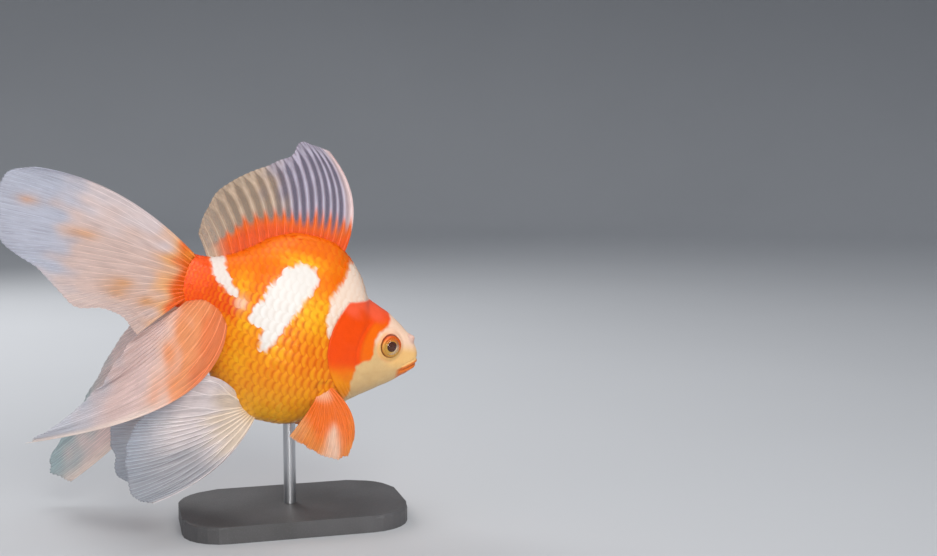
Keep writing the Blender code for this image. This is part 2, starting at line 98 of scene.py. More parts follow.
# Fins: one row a leading ray, root then middle then tip, for the right side (y below 0).
DORSAL_RAYS = (
    (15.0, 0.0, 34.9, 13.6, 0.0, 58.4, -1.7, 0.6, 76.9),
    (9.5, 0.0, 38.2, 6.2, 0.2, 61.0, -7.0, 1.0, 77.0),
    (3.0, 0.0, 38.6, -1.3, 0.4, 61.5, -13.2, 1.2, 77.2),
    (-4.0, 0.0, 38.2, -8.4, 0.4, 57.0, -16.6, 0.9, 70.6),
    (-11.0, 0.0, 36.4, -15.9, 0.2, 53.2, -24.0, 0.3, 65.0),
    (-18.0, 0.0, 33.0, -24.6, 0.0, 48.2, -33.2, -0.4, 58.2),
    (-26.0, 0.0, 26.8, -33.0, -0.2, 40.6, -41.6, -0.9, 50.2),
    (-33.0, 0.0, 22.6, -39.0, -0.3, 32.6, -45.4, -0.9, 39.6),
    (-39.4, 0.0, 20.4, -42.8, -0.2, 25.8, -45.9, -0.5, 30.4),
)
TAIL_UPPER_RAYS = (
    (-45.2, -1.5, 21.6, -80.1, -20.0, 39.4, -112.8, -32.5, 42.5),
    (-46.0, -2.2, 18.6, -84.1, -21.2, 33.2, -121.8, -32.5, 38.2),
    (-46.4, -2.6, 15.6, -84.6, -22.0, 23.9, -123.0, -32.0, 26.6),
    (-46.6, -2.8, 12.6, -82.6, -22.0, 15.3, -118.0, -31.2, 12.4),
    (-46.6, -2.8, 9.6, -77.1, -20.8, 7.8, -103.5, -30.6, 5.6),
    (-46.4, -2.8, 7.0, -69.7, -19.5, 2.4, -88.1, -30.0, -4.8),
    (-46.0, -2.8, 5.0, -61.2, -18.0, -1.2, -71.8, -29.5, -4.6),
    (-45.4, -2.8, 3.0, -54.0, -16.8, -4.2, -62.2, -29.2, -11.8),
)
TAIL_LOWER_RIGHT_RAYS = (
    (-44.4, -2.8, 2.2, -53.2, -16.4, -5.2, -62.7, -29.5, -12.8),
    (-42.0, -4.2, 3.4, -54.2, -18.8, -10.6, -68.2, -34.3, -22.9),
    (-39.0, -6.0, 4.4, -53.6, -21.4, -16.1, -72.0, -38.4, -33.0),
    (-35.2, -8.2, 4.4, -51.5, -24.2, -22.4, -80.8, -43.2, -44.2),
    (-31.0, -11.4, 1.8, -47.8, -27.2, -28.9, -89.4, -47.5, -52.5),
    (-27.5, -13.5, -3.0, -42.0, -30.0, -33.5, -94.1, -50.4, -56.6),
)
TAIL_LOWER_LEFT_RAYS = (
    (-44.4, -2.8, 2.2, -53.2, -16.4, -5.2, -62.4, -29.0, -13.6),
    (-43.0, -3.6, 1.2, -54.8, -19.6, -14.9, -68.8, -33.4, -33.7),
    (-41.2, -4.6, 0.0, -54.4, -23.4, -24.4, -74.8, -38.0, -57.0),
    (-39.2, -5.6, -1.2, -53.2, -27.0, -34.6, -81.5, -42.4, -77.3),
    (-36.6, -6.6, -2.6, -50.7, -29.8, -42.8, -81.5, -44.8, -88.2),
    (-33.4, -7.6, -4.4, -46.3, -31.6, -50.8, -71.4, -46.0, -90.8),
)
ANAL_RAYS = (
    (-28.6, -3.4, -22.6, -37.2, -6.8, -36.0, -47.0, -9.4, -46.4),
    (-30.4, -3.4, -19.6, -40.6, -6.8, -31.6, -52.0, -9.2, -40.0),
    (-32.2, -3.4, -16.6, -42.4, -6.4, -26.4, -54.0, -8.6, -32.4),
    (-34.2, -3.2, -13.0, -42.6, -5.8, -20.8, -51.0, -7.6, -25.4),
)
PELVIC_RAYS = (
    (-6.6, -7.6, -36.6, -18.4, -14.8, -60.4, -42.0, -22.0, -77.8),
    (-7.6, -7.8, -36.2, -24.8, -15.4, -59.6, -49.6, -22.4, -76.4),
    (-8.6, -8.0, -35.8, -29.0, -16.0, -55.6, -53.6, -22.6, -68.0),
    (-9.6, -8.2, -35.4, -31.6, -16.6, -50.4, -56.6, -22.0, -59.6),
    (-10.6, -8.4, -35.0, -32.4, -17.0, -44.6, -55.6, -21.0, -51.0),
    (-11.6, -8.6, -34.6, -31.6, -17.0, -39.2, -52.0, -20.0, -43.0),
    (-12.6, -8.8, -34.2, -26.5, -16.5, -24.2, -43.0, -20.0, -26.5),
)
PELVIC_LEFT_RAYS = PELVIC_RAYS[:-1] + (
    (-12.6, -8.8, -34.2, -28.6, -16.6, -34.0, -46.0, -19.0, -36.0),
)
PECTORAL_RAYS = (
    (18.6, -17.6, -18.4, 28.4, -23.6, -26.2, 31.8, -27.0, -37.2),
    (17.8, -17.6, -19.6, 26.0, -24.4, -31.6, 29.4, -28.0, -45.0),
    (16.8, -17.6, -20.8, 20.6, -24.6, -33.6, 20.4, -27.6, -45.6),
    (15.8, -17.6, -21.8, 14.8, -23.8, -32.8, 12.0, -26.4, -43.4),
    (14.8, -17.4, -22.6, 10.4, -22.8, -31.0, 5.4, -25.0, -40.6),
)

# Patches of the coat, as (x, z) outlines on the right side.
WHITE_FLANK = ((-10, 25), (-4.2, 28), (2.2, 27), (4, 23.3), (2.3, 18.2), (0, 14.5),
               (-1.9, 9.2), (-4.5, 5.4), (-6.7, 0.5), (-8.6, -3.7), (-11.1, -8.4),
               (-13.8, -9.1), (-14.8, -4.4), (-14.4, -1), (-17.4, 0), (-20.4, 1.6),
               (-19.9, 6.6), (-16.8, 10.7), (-15.3, 15.8), (-13.2, 19.6))
WHITE_NAPE = ((17.4, 33), (20.8, 33), (26, 30), (30, 25.5), (31, 17.0), (22.7, 16.5),
              (20.1, 17), (17.6, 13), (15.1, 9.3), (13.5, 6.6), (13.4, 2.8), (12.1, 2.6),
              (10.5, 6.4), (10.3, 11.7), (10.3, 16.5), (11.4, 20), (14.4, 24.1), (16.2, 28.8))
WHITE_STALK = ((-40, 24), (-34.5, 26), (-32.3, 18.7), (-29.2, 14.3), (-26.4, 11.4),
               (-26.6, 8.9), (-30, 10.1), (-33.6, 12.4), (-37.5, 16.6))
RED_STALK = ((-58, 27), (-40, 24), (-36.5, 15.6), (-32.7, 11.8), (-26.5, 8.2), (-24, -3.6),
             (-27.8, -0.5), (-34.2, 3), (-38.7, -3), (-44, -6), (-58, -6))
CREAM_FACE = ((39.7, 24), (39.7, 15.4), (39.8, 12.7), (38.9, 9.9), (35.3, 7.4), (34, 3.9),
              (34.2, -1.1), (33.2, -4.7), (29.9, -6.5), (27.5, -8.1), (27.2, -12.1),
              (27.8, -16.6), (28.2, -18.9), (26, -40), (70, -40), (70, 24))


# ---- numbers ----
def smooth(low, high, value):
    """0 below low, 1 above high, an easy curve between them."""
    t = np.clip((value - low) / (high - low), 0.0, 1.0)
    return t * t * (3.0 - 2.0 * t)


def hump(value, width):
    """1 at 0, and next to nothing beyond about two widths."""
    return np.exp(-(value / width) ** 2)


def tint(red, green, blue):
    """A colour given on the 0 to 255 scale that painters use, made linear."""
    shown = np.array((red, green, blue)) / 255.0
    return np.where(shown <= 0.04045, shown / 12.92, ((shown + 0.055) / 1.055) ** 2.4)


def blend(a, b, share):
    """Colours a and b mixed by a share for each point."""
    return a + (b - a) * np.asarray(share)[..., None]


def layered(colour, *layers):
    """A colour with others laid over it in turn, each by its own share."""
    for over, share in layers:
        colour = blend(colour, over, share)
    return colour


def dappled(colour, over, x, z, uneven, spots):
    """A colour with soft spots over it, each one (x, z, length, height, strength)."""
    for spot_x, spot_z, long, tall, strength in spots:
        spot = hump(x - spot_x, long) * hump(z - spot_z, tall) * strength
        colour = blend(colour, over, np.clip(spot * (1.0 + uneven), 0, 1))
    return colour


def ripple(x, z, size, seed):
    """A smooth wandering value around 0 over the body's side."""
    rng = np.random.default_rng(seed)
    total = np.zeros(np.broadcast(x, z).shape)
    for _ in range(6):
        turn, phase = rng.uniform(0, 2 * math.pi, 2)
        pace = 2 * math.pi / (size * rng.uniform(0.7, 1.6))
        total += np.sin((x * math.cos(turn) + z * math.sin(turn)) * pace + phase)
    return total / 6.0 ** 0.5


def inside(x, z, outline):
    """Distance inside an outline, negative outside it."""
    best = np.full(np.shape(x), 1e9)
    within = np.zeros(np.shape(x), bool)
    for (ax, az), (bx, bz) in zip(outline, outline[1:] + outline[:1]):
        run_x, run_z = bx - ax, bz - az
        share = ((x - ax) * run_x + (z - az) * run_z) / (run_x ** 2 + run_z ** 2)
        share = np.clip(share, 0.0, 1.0)
        best = np.minimum(best, np.hypot(x - ax - share * run_x, z - az - share * run_z))
        if run_z:
            crossing = (az > z) != (bz > z)
            within ^= crossing & (x < ax + (z - az) * run_x / run_z)
    return np.where(within, best, -best)


# ---- the fish's frame ----
def tilted(points, angle):
    """Points or directions turned nose down by an angle."""
    x, y, z = np.moveaxis(np.asarray(points, float), -1, 0)
    c, s = math.cos(angle), math.sin(angle)
    return np.stack((x * c + z * s, y, z * c - x * s), -1)


def pitched(points):
    return tilted(points, NOSE_DOWN)


def box_centre(node):
    low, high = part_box(node)
    return np.array((low + high) / 2)


FISH_ORIGIN = (box_centre("eye_right") + box_centre("eye_left")) / 2 / MM
FISH_ORIGIN = FISH_ORIGIN - pitched(EYE * (1, 0, 1))


def to_world(points):
    return (pitched(points) + FISH_ORIGIN) * MM


def from_world(points):
    """World points in the fish's own frame, in millimetres."""
    return tilted(np.asarray(points, float) / MM - FISH_ORIGIN, -NOSE_DOWN)


# ---- the body's surface ----
def station_slopes():
    """Slopes of the monotone cubics through the stations."""
    steps = np.diff(STATIONS[:, :1], axis=0)
    rates = np.diff(STATIONS, axis=0) / steps
    a, b = rates[:-1], rates[1:]
    w1 = 2.0 * steps[1:] + steps[:-1]
    w2 = steps[1:] + 2.0 * steps[:-1]
    with np.errstate(divide="ignore", invalid="ignore"):
        inner = np.where(a * b > 0.0, (w1 + w2) / (w1 / a + w2 / b), 0.0)
    return np.concatenate((rates[:1], inner, rates[-1:]))


SLOPES = station_slopes()


def section(x):
    """Top, bottom, half width, widest height and the two powers at a length."""
    x = np.clip(x, STALK_END, SNOUT_END)
    xs = STATIONS[:, 0]
    i = np.clip(np.searchsorted(xs, x, side="right") - 1, 0, len(xs) - 2)
    h = xs[i + 1] - xs[i]
    t = (x - xs[i]) / h
    a, b = STATIONS[i], STATIONS[i + 1]
    sa, sb = SLOPES[i], SLOPES[i + 1]
    t, h = t[..., None], h[..., None]
    mixed = (a * (1 + 2 * t) * (1 - t) ** 2 + b * t * t * (3 - 2 * t)
             + h * sa * t * (1 - t) ** 2 - h * sb * t * t * (1 - t))
    return [mixed[..., field] for field in range(1, 7)]


def body_point(x, turn):
    """A point of the body; turn 0 is the left side, a quarter turn the back."""
    x, turn = np.broadcast_arrays(np.asarray(x, float), np.asarray(turn, float))
    top, bottom, half, widest, ridge, belly = section(x)
    c, s = np.cos(turn), np.sin(turn)
    up = s >= 0.0
    power = np.where(up, ridge, belly)
    reach = np.where(up, top - widest, widest - bottom)
    return np.stack((x, half * np.sign(c) * np.abs(c) ** power, widest + reach * s), -1)


def unit(vectors):
    return vectors / np.maximum(np.linalg.norm(vectors, axis=-1, keepdims=True), 1e-9)


def body_normal(x, turn, step_x=0.15, step_turn=0.012):
    along = body_point(x + step_x, turn) - body_point(x - step_x, turn)
    around = body_point(x, turn + step_turn) - body_point(x, turn - step_turn)
    return unit(np.cross(around, along))


def gill_edge(z):
    """Rear edge of the gill cover, where the head ends."""
    return 13.2 + np.where(z > -1.0, 0.0175, 0.026) * (z + 1.0) ** 2


def on_head(x, z):
    """Distance on to the bare skin of the head; negative where there are scales."""
    crease = 17.3 + 0.22 * (x - 19.5)
    return np.minimum(x - gill_edge(z), np.maximum(crease - z, x - 30.8))


# ---- the coat's markings ----
BACK_ORANGE = tint(247, 112, 8)
FLANK_ORANGE = tint(243, 124, 12)
BELLY_AMBER = tint(242, 164, 44)
GOLD_AND_HIGHLIGHT = tint(254, 190, 30)
PURE_WHITE = tint(236, 229, 222)
NAPE_WHITE = tint(245, 220, 200)
GILL_RED = tint(243, 78, 10)
GILL_AMBER = tint(248, 148, 18)
CHEEK_ORANGE = tint(247, 110, 12)
CROWN_RED = tint(249, 96, 60)
STALK_RED = tint(243, 82, 22)
CHEEK_CREAM = tint(226, 190, 134)
SNOUT_PINK = tint(252, 216, 190)
SNOUT_AMBER = tint(248, 200, 130)
NOSTRIL_GREY = tint(214, 176, 164)
LIP_ORANGE = tint(228, 122, 50)
CREASE_SHADE = tint(150, 62, 22)
SOCKET_SHADE = tint(120, 60, 34)


def around_eye(x, z):
    """Distance from the middle of the eye's opening, which is a little narrow."""
    return np.hypot((x - EYE[0] - 0.15) / math.cos(EYE_SWING), z - EYE[2])


def mouth_gap(x, z):
    """Height above the line where the lips meet."""
    return (z + 3.9 + 0.62 * (55.8 - x)) * 0.85


def trunk_colour(x, z, left, wander, fine):
    """Orange over amber, with gold patches that are partly painted highlight, white ones and the red
    stalk; painted light under the belly and painted shade at the pectoral fin's root.
    """
    high = z + 2.0 * wander
    colour = layered(BELLY_AMBER, (FLANK_ORANGE, smooth(-36, -6, high)),
                     # painted light: a paler amber that lifts the lowest belly out of its shade
                     (tint(255, 190, 60), smooth(-27, -39, high)),
                     (BACK_ORANGE, smooth(6, 26, high)))
    # Gold patches: partly the scales' own gold, partly painted highlight; the long one high on the back is
    # a painted highlight along its ridge.
    colour = dappled(colour, GOLD_AND_HIGHLIGHT, x, z, 0.5 * fine, (
        (4.5, 9.5, 9.0, 8.0, 0.95), (-22.0, -1.0, 5.0, 4.0, 0.7), (-21.0, -14.0, 6.0, 8.0, 0.5),
        (-3.0, 28.6, 9.0, 3.2, 0.9), (-25.0, 14.0, 3.0, 6.0, 0.6), (-8.0, -9.0, 6.0, 5.0, 0.5)))
    flank_x = np.where(left, x * 1.1 - 7.0, x)
    flank_z = np.where(left, z * 1.15 + 4.0, z)
    stalk_z = np.where(left, z + 1.5, z)
    blush = hump(x + 24.6, 2.2) * hump(z - 7.6, 2.6)
    # painted shade in the crease at the pectoral fin's root
    fin_root_shade = hump(np.hypot(x - 15.5, (z + 19.5) * 1.4) - 3.4, 0.7)
    fin_root_shade = fin_root_shade * smooth(17.5, 14.0, x - 0.6 * (z + 19.5))
    return layered(
        colour,
        (STALK_RED, smooth(-1.2, 1.5, inside(x, z, RED_STALK) + 0.6 * wander)),
        (PURE_WHITE, smooth(-0.6, 0.6, inside(flank_x, flank_z, WHITE_FLANK) + 0.35 * fine)),
        (PURE_WHITE, smooth(-0.6, 0.6, inside(x, stalk_z, WHITE_STALK) + 0.35 * fine) * 0.95),
        (tint(252, 206, 184), np.where(left, 0.0, np.clip(blush * 1.2, 0, 0.8))),
        (tint(146, 70, 30), fin_root_shade * 0.55))


def coat_colour(points):
    """The colour of skin and scales at points of the body."""
    x, y, z = np.moveaxis(points, -1, 0)
    wander = ripple(x, z, 7.0, 11)
    fine = ripple(x, z, 2.2, 12)
    head = on_head(x, z)
    face = layered(
        GILL_AMBER, (GILL_RED, smooth(-17, -6, z + wander)),
        (CHEEK_ORANGE, smooth(27.0, 29.5, x - 0.03 * (z + 1) ** 2) * smooth(14, 8, z)),
        (CROWN_RED, smooth(10, 15, z + wander)))
    nape = smooth(-0.7, 0.7, inside(x, z, WHITE_NAPE) + 0.35 * fine)
    cream = layered(CHEEK_CREAM, (SNOUT_AMBER, smooth(-9.0, -3.5, z) * smooth(38, 46, x)),
                    (SNOUT_PINK, smooth(0.0, 5.0, z)))
    soft = 0.7 + 0.5 * smooth(8, 14, z)
    ring = around_eye(x, z)
    behind = smooth(1.5, -3.5, x - EYE[0] + 0.3 * (z - EYE[2]))
    below = smooth(1.5, -3.5, z - EYE[2] + 0.3 * (x - EYE[0]))
    spot = np.abs(y) - NOSTRIL[1]
    flap = np.sqrt((x - NOSTRIL[0]) ** 2 + spot ** 2 + (z - NOSTRIL[2]) ** 2)
    gap = mouth_gap(x, z)
    return layered(
        trunk_colour(x, z, y > 0.0, wander, fine),
        (face, smooth(-0.25, 0.25, head)),
        (NAPE_WHITE, nape * smooth(0.9, -0.4, head)),
        (cream, smooth(-soft, soft, inside(x, z, CREAM_FACE) + 0.3 * wander + 0.15 * fine)),
        (tint(255, 172, 116), hump(ring - 5.6, 1.0) * (0.3 + 0.55 * behind)),
        (tint(224, 188, 112), hump(ring - 5.5, 0.75) * 0.75 * below),
        # painted shade in the eye's socket, a little lighter below the eye
        (blend(SOCKET_SHADE, tint(178, 132, 70), below), smooth(4.95, 4.6, ring)),
        (NOSTRIL_GREY, smooth(3.2, 1.6, flap) * 0.85),
        (LIP_ORANGE, smooth(46.8, 49.0, x + 0.25 * gap) * smooth(-4.0, -3.2, gap) * smooth(1.7, 1.1, gap)),
        # painted shade in the slit where the lips meet
        (CREASE_SHADE, hump(gap, 0.22) * smooth(49.3, 50.2, x) * 0.6),
        # painted shade in the slit behind the gill cover's rear edge
        (CREASE_SHADE, hump(head + 0.25, 0.45) * smooth(19.0, 16.0, z) * smooth(13.0, 15.0, x + 3) * 0.45))


# ---- relief of the skin ----
def relief(points):
    """How far the skin stands over (or under) the plain body, in millimetres."""
    x, y, z = np.moveaxis(points, -1, 0)
    head = on_head(x, z)
    bare = smooth(-0.12, 0.22, head)
    rise = -COAT_DEPTH + (COAT_DEPTH - BARE_SINK) * bare

    # the gill cover: a raised rim, and the slit that it hides behind it
    beside = smooth(19.5, 16.5, z)
    rise += 0.16 * hump(head - 0.7, 0.6) * beside
    rise -= 0.55 * smooth(-2.2, -0.3, head) * smooth(0.15, -0.12, head) * beside
    for back in (2.4, 4.3, 6.0):
        rise -= 0.16 * hump(head - back, 0.32) * smooth(-12.5, -16.0, z)

    # the crest of the fore cover, and the groove behind it
    crest = x - 27.4 - 0.03 * (z + 1.0) ** 2
    reach = smooth(-13.0, -9.0, z) * smooth(12.0, 8.0, z) * smooth(40, 36, x)
    rise += (0.14 * hump(crest - 0.6, 0.9) - 0.18 * hump(crest + 0.9, 0.6)) * reach
    rise += 0.30 * hump(x - 33.5, 4.6) * hump(z + 7.5, 4.6)

    # the crease between skull and nape
    rise -= 0.25 * hump(head + 0.3, 0.5) * smooth(16.5, 19.0, z)

    # the eye's socket and its soft rim
    ring = around_eye(x, z)
    rise += 0.45 * hump(ring - 5.35, 0.6)
    rise -= 0.14 * hump(ring - 7.1, 0.6)
    rise -= 2.6 * smooth(5.0, 3.9, ring)

    # nostrils: a flap with a pit before and behind
    aside = np.abs(y) - NOSTRIL[1]
    for height, dx, dy, dz, width in ((1.7, 0, 0, 0, 1.8), (-0.6, 1.5, 0.4, -1.0, 0.5),
                                      (-0.8, -1.5, 0.7, 0.7, 0.6)):
        apart = np.sqrt((x - NOSTRIL[0] - dx) ** 2 + (aside - dy) ** 2 + (z - NOSTRIL[2] - dz) ** 2)
        rise += height * hump(apart, width)

    # the lips, the line where they meet and the folds round them
    gap = mouth_gap(x, z)
    front = smooth(49.2, 50.8, x)
    rise += (0.34 * hump(gap - 0.95, 0.55) + 0.40 * hump(gap + 1.05, 0.6)) * front
    rise -= 0.5 * hump(gap, 0.2) * front
    rise -= 0.24 * (hump(gap - 2.1, 0.3) + hump(gap + 2.35, 0.35)) * smooth(48.4, 50.0, x)
    corner = np.hypot(x - 49.3, gap * 1.1)
    rise -= 0.40 * hump(corner, 0.8)
    rise -= 0.14 * hump(x - 47.6 + 0.35 * gap, 0.35) * hump(gap - 0.5, 2.6)

    # slow unevenness of the flesh over the head bones
    rise += 0.07 * ripple(x, z, 4.5, 21) * bare * smooth(5.6, 7.0, ring)
    return rise


# ---- node graphs ----
class Wire:
    """A value that runs through a node graph; arithmetic on it adds Math nodes."""

    def __init__(self, graph, socket):
        self.graph, self.socket = graph, socket

    def maths(self, operation, *values):
        return self.graph.wire("ShaderNodeMath", {"operation": operation}, dict(enumerate(values)))

    def __add__(self, other):
        return self.maths("ADD", self, other)

    def __rsub__(self, other):
        return self.maths("SUBTRACT", other, self)

    def __mul__(self, other):
        return self.maths("MULTIPLY", self, other)

    __radd__ = __add__
    __rmul__ = __mul__

    def limited(self):
        return self.graph.wire("ShaderNodeClamp", {}, {"Value": self})


class Graph:
    """A node tree and the one way its nodes are made."""

    def __init__(self, tree):
        self.tree = tree

    def node(self, kind, settings=None, inputs=None):
        made = self.tree.nodes.new(kind)
        for key, value in (settings or {}).items():
            if key == "stops":
                ramp = made.color_ramp.elements
                while len(ramp) < len(value):
                    ramp.new(0.5)
                for stop, (place, colour) in zip(ramp, value):
                    stop.position = place
                    stop.color = (*colour, 1.0)
            else:
                setattr(made, key, value)
        for key, value in (inputs or {}).items():
            self.feed(made.inputs[key], value)
        return made

    def feed(self, socket, value):
        if isinstance(value, Wire):
            self.tree.links.new(value.socket, socket)
        else:
            socket.default_value = value

    def wire(self, kind, settings=None, inputs=None, output=0):
        return Wire(self, self.node(kind, settings, inputs).outputs[output])


class Look(Graph):
    """A material: a Principled shader and what varies over its surface."""

    def __init__(self, name, **constants):
        self.material = bpy.data.materials.new(name)
        self.material.use_nodes = True
        super().__init__(self.material.node_tree)
        self.shader = self.tree.nodes["Principled BSDF"]
        self.solid = Wire(self, self.shader.outputs[0])
        self.paint(**constants)

    def paint(self, **values):
        for socket, value in values.items():
            self.feed(self.shader.inputs[socket.replace("_", " ")], value)
        return self.material

    def thinned(self, share, solid):
        """Clear where the share is 0, and a solid shader where it is 1."""
        clear = self.wire("ShaderNodeBsdfTransparent")
        mixed = self.wire("ShaderNodeMixShader", {}, {0: share.limited(), 1: clear, 2: solid})
        self.feed(self.tree.nodes["Material Output"].inputs["Surface"], mixed)
        return self.material

    def attribute(self, name, output="Fac"):
        return self.wire("ShaderNodeAttribute", {"attribute_name": name}, {}, output)

    def place(self):
        return self.wire("ShaderNodeTexCoord", {}, {}, "Object")

    def part(self, vector, axis):
        return self.wire("ShaderNodeSeparateXYZ", {}, {"Vector": vector}, axis)

    def noise(self, where, scale, detail):
        inputs = {"Vector": where, "Scale": scale, "Detail": detail, "Roughness": 0.55}
        return self.wire("ShaderNodeTexNoise", {}, inputs)

    def streaks(self, where, factors, detail):
        """Noise drawn out along the axes where the factors are small."""
        drawn = self.wire("ShaderNodeMapping", {}, {"Vector": where, "Scale": factors})
        return self.noise(drawn, 1.0, detail)

    def mix(self, share, a, b, how="MIX"):
        """Colours a and b, each a wire or red, green and blue, mixed by a share."""
        a, b = [colour if isinstance(colour, Wire) else (*colour, 1.0) for colour in (a, b)]
        settings = {"data_type": "RGBA", "blend_type": how}
        return self.wire("ShaderNodeMix", settings, {0: share, 6: a, 7: b}, 2)

    def times(self, colour, factor):
        return self.mix(1.0, colour, factor, "MULTIPLY")

    def range(self, value, low, high, to_low=0.0, to_high=1.0):
        inputs = {"Value": value, 1: low, 2: high, 3: to_low, 4: to_high}
        return self.wire("ShaderNodeMapRange", {}, inputs)

    def ramp(self, value, *stops):
        return self.wire("ShaderNodeValToRGB", {"stops": stops}, {0: value})

    def bump(self, height, distance, strength, **before):
        inputs = {"Height": height, "Distance": distance, "Strength": strength, **before}
        return self.wire("ShaderNodeBump", {}, inputs)


# ---- looks ----
def skin_look():
    look = Look("wet_skin", Specular_IOR_Level=0.18, Coat_Roughness=0.12)
    coat = look.attribute("coat_colour", "Color")
    where = look.place()
    mottle = look.noise(where, 420.0, 4.0)
    fleck = look.noise(where, 1900.0, 2.0)
    pores = look.noise(where, 2600.0, 2.0)
    colour = look.mix(look.range(mottle, 0.35, 0.7, 0.0, 0.22), coat, look.times(coat, (0.86, 0.66, 0.5)))
    lifted = look.times(colour, (1.25, 1.2, 1.1))
    colour = look.mix(look.range(fleck, 0.55, 0.75, 0.0, 0.25), colour, lifted)
    dimples = look.bump(mottle, 0.00018, 0.5)
    return look.paint(Base_Color=colour, Roughness=look.range(mottle, 0.3, 0.7, 0.30, 0.44),
                      Coat_Weight=look.range(fleck, 0.3, 0.7, 0.03, 0.10),
                      Normal=look.bump(pores, 0.00005, 0.35, Normal=dimples))


def scale_look():
    """One scale: darker ochre where it is overlapped and at its very edge (painted shade), a bright
    crescent inside its rear margin (painted highlight).
    """
    look = Look("scale", Specular_IOR_Level=0.2, Coat_Roughness=0.15)
    coat = look.attribute("coat_colour", "Color")
    whiteness, netting, tone = [look.attribute(name) for name in ("whiteness", "netting", "tone")]
    place = look.attribute("place", "Vector")
    rim = look.part(place, "Z")
    # shaded_coat is the coat with painted shade, lit is the coat with painted highlight.
    shaded_coat = look.times(coat, look.mix(whiteness, (0.80, 0.64, 0.50), (0.88, 0.83, 0.80)))
    lit = look.mix(0.6, coat, look.mix(whiteness, tint(255, 176, 26), (1.0, 1.0, 1.0)))
    glint_crescent = look.range(rim, 0.60, 0.74) * look.range(rim, 0.86, 0.97, 1.0, 0.0)
    front = look.range(rim, 0.50, 0.72, 1.0, 0.0)
    # Painted shade where the scale ahead overlaps, a painted highlight in the crescent, then painted shade
    # at the very edge.
    colour = look.mix(front * netting * (1.1 - 0.5 * tone), coat, shaded_coat)
    colour = look.mix(glint_crescent * netting * (0.25 + 0.75 * tone), colour, lit)
    colour = look.mix(look.range(rim, 0.88, 1.0, 0.0, 0.7) * netting, colour, shaded_coat)
    rings = look.wire("ShaderNodeTexWave", {"wave_type": "RINGS", "rings_direction": "SPHERICAL"},
                      {"Vector": place, "Scale": 5.0, "Distortion": 1.2, "Detail": 2.0})
    grain = look.noise(look.place(), 1500.0, 3.0)
    return look.paint(Base_Color=colour, Roughness=look.range(tone, 0.0, 1.0, 0.26, 0.42),
                      Metallic=0.2 * glint_crescent * (1.0 - whiteness),
                      Coat_Weight=look.range(grain, 0.3, 0.7, 0.03, 0.14),
                      Normal=look.bump(rings + 0.6 * grain, 0.00003, 0.4))


def film_look(name, glow, lit_through):
    """Fin web: thin, half clear, with fine streaks that run out along the rays."""
    look = Look(name, Roughness=0.42, Specular_IOR_Level=0.22, Coat_Weight=0.04, Coat_Roughness=0.2)
    tinted = look.attribute("film_colour", "Color")
    flow = look.attribute("flow", "Vector")
    streak = look.streaks(flow, (260.0, 7.0, 1.0), 3.0)
    cloud = look.streaks(flow, (18.0, 9.0, 1.0), 2.0)
    dark, light = look.times(tinted, (0.74, 0.72, 0.74)), look.times(tinted, (1.12, 1.12, 1.12))
    colour = look.mix(look.range(streak, 0.42, 0.66, 0.0, 0.8), tinted, dark)
    colour = look.mix(look.range(cloud, 0.4, 0.7, 0.0, 0.6), colour, light)
    look.paint(Base_Color=colour, Normal=look.bump(streak, 0.00012, 0.5))
    soft = look.wire("ShaderNodeBsdfTranslucent", {}, {"Color": (*lit_through, 1.0)})
    body = look.wire("ShaderNodeMixShader", {}, {0: glow, 1: look.solid, 2: soft})
    return look.thinned(look.attribute("cover") * look.range(streak, 0.3, 0.7, 1.0, 0.86), body)


def ray_look(name, pale):
    """Fin rays: horny, paler than the web by a share."""
    look = Look(name, Specular_IOR_Level=0.2, Coat_Weight=0.04, Coat_Roughness=0.2)
    tinted = look.attribute("film_colour", "Color")
    grain = look.noise(look.place(), 1400.0, 2.0)
    light = look.mix(pale, tinted, (1.0, 0.97, 0.96))
    colour = look.mix(look.range(grain, 0.35, 0.7, 0.0, 0.5), light, tinted)
    return look.paint(Base_Color=colour, Roughness=look.range(grain, 0.3, 0.7, 0.28, 0.42),
                      Normal=look.bump(grain, 0.00004, 0.4))


def iris_look():
    """The eye's disc: dark pupil, gold rim, green gold below and orange above, with painted shade round
    its outer edge.
    """
    look = Look("iris", Specular_IOR_Level=0.3, Coat_Weight=0.1, Coat_Roughness=0.05)
    ring = look.attribute("ring")
    spokes = look.streaks(look.attribute("spoke", "Vector"), (9.0, 9.0, 1.2), 4.0)
    fleck = look.noise(look.place(), 2600.0, 3.0)
    low = look.ramp(ring, (0.0, tint(228, 180, 72)), (0.35, tint(226, 172, 76)), (1.0, tint(214, 150, 74)))
    high = look.ramp(ring, (0.0, tint(230, 156, 52)), (0.3, tint(240, 128, 34)), (1.0, tint(242, 96, 34)))
    colour = look.mix(look.range(look.attribute("upper"), -0.25, 0.5), low, high)
    dark = look.times(colour, (0.66, 0.58, 0.45))
    colour = look.mix(look.range(spokes, 0.4, 0.65, 0.0, 0.5), colour, dark)
    # painted shade round the outer edge, where the globe meets its socket; then the gold rim and the dark
    # pupil
    for reach, shade in (((0.94, 1.05, 0.0, 0.7), tint(110, 52, 26)),
                         ((0.0, 0.10, 0.85, 0.0), tint(226, 176, 84)),
                         ((-0.05, 0.0, 1.0, 0.0), tint(74, 34, 18))):
        colour = look.mix(look.range(ring, *reach), colour, shade)
    return look.paint(Base_Color=colour, Roughness=look.range(fleck, 0.3, 0.7, 0.28, 0.45),
                      Metallic=look.range(ring, 0.0, 0.1, 0.0, 0.35),
                      Normal=look.bump(spokes + 0.5 * fleck, 0.00006, 0.5))


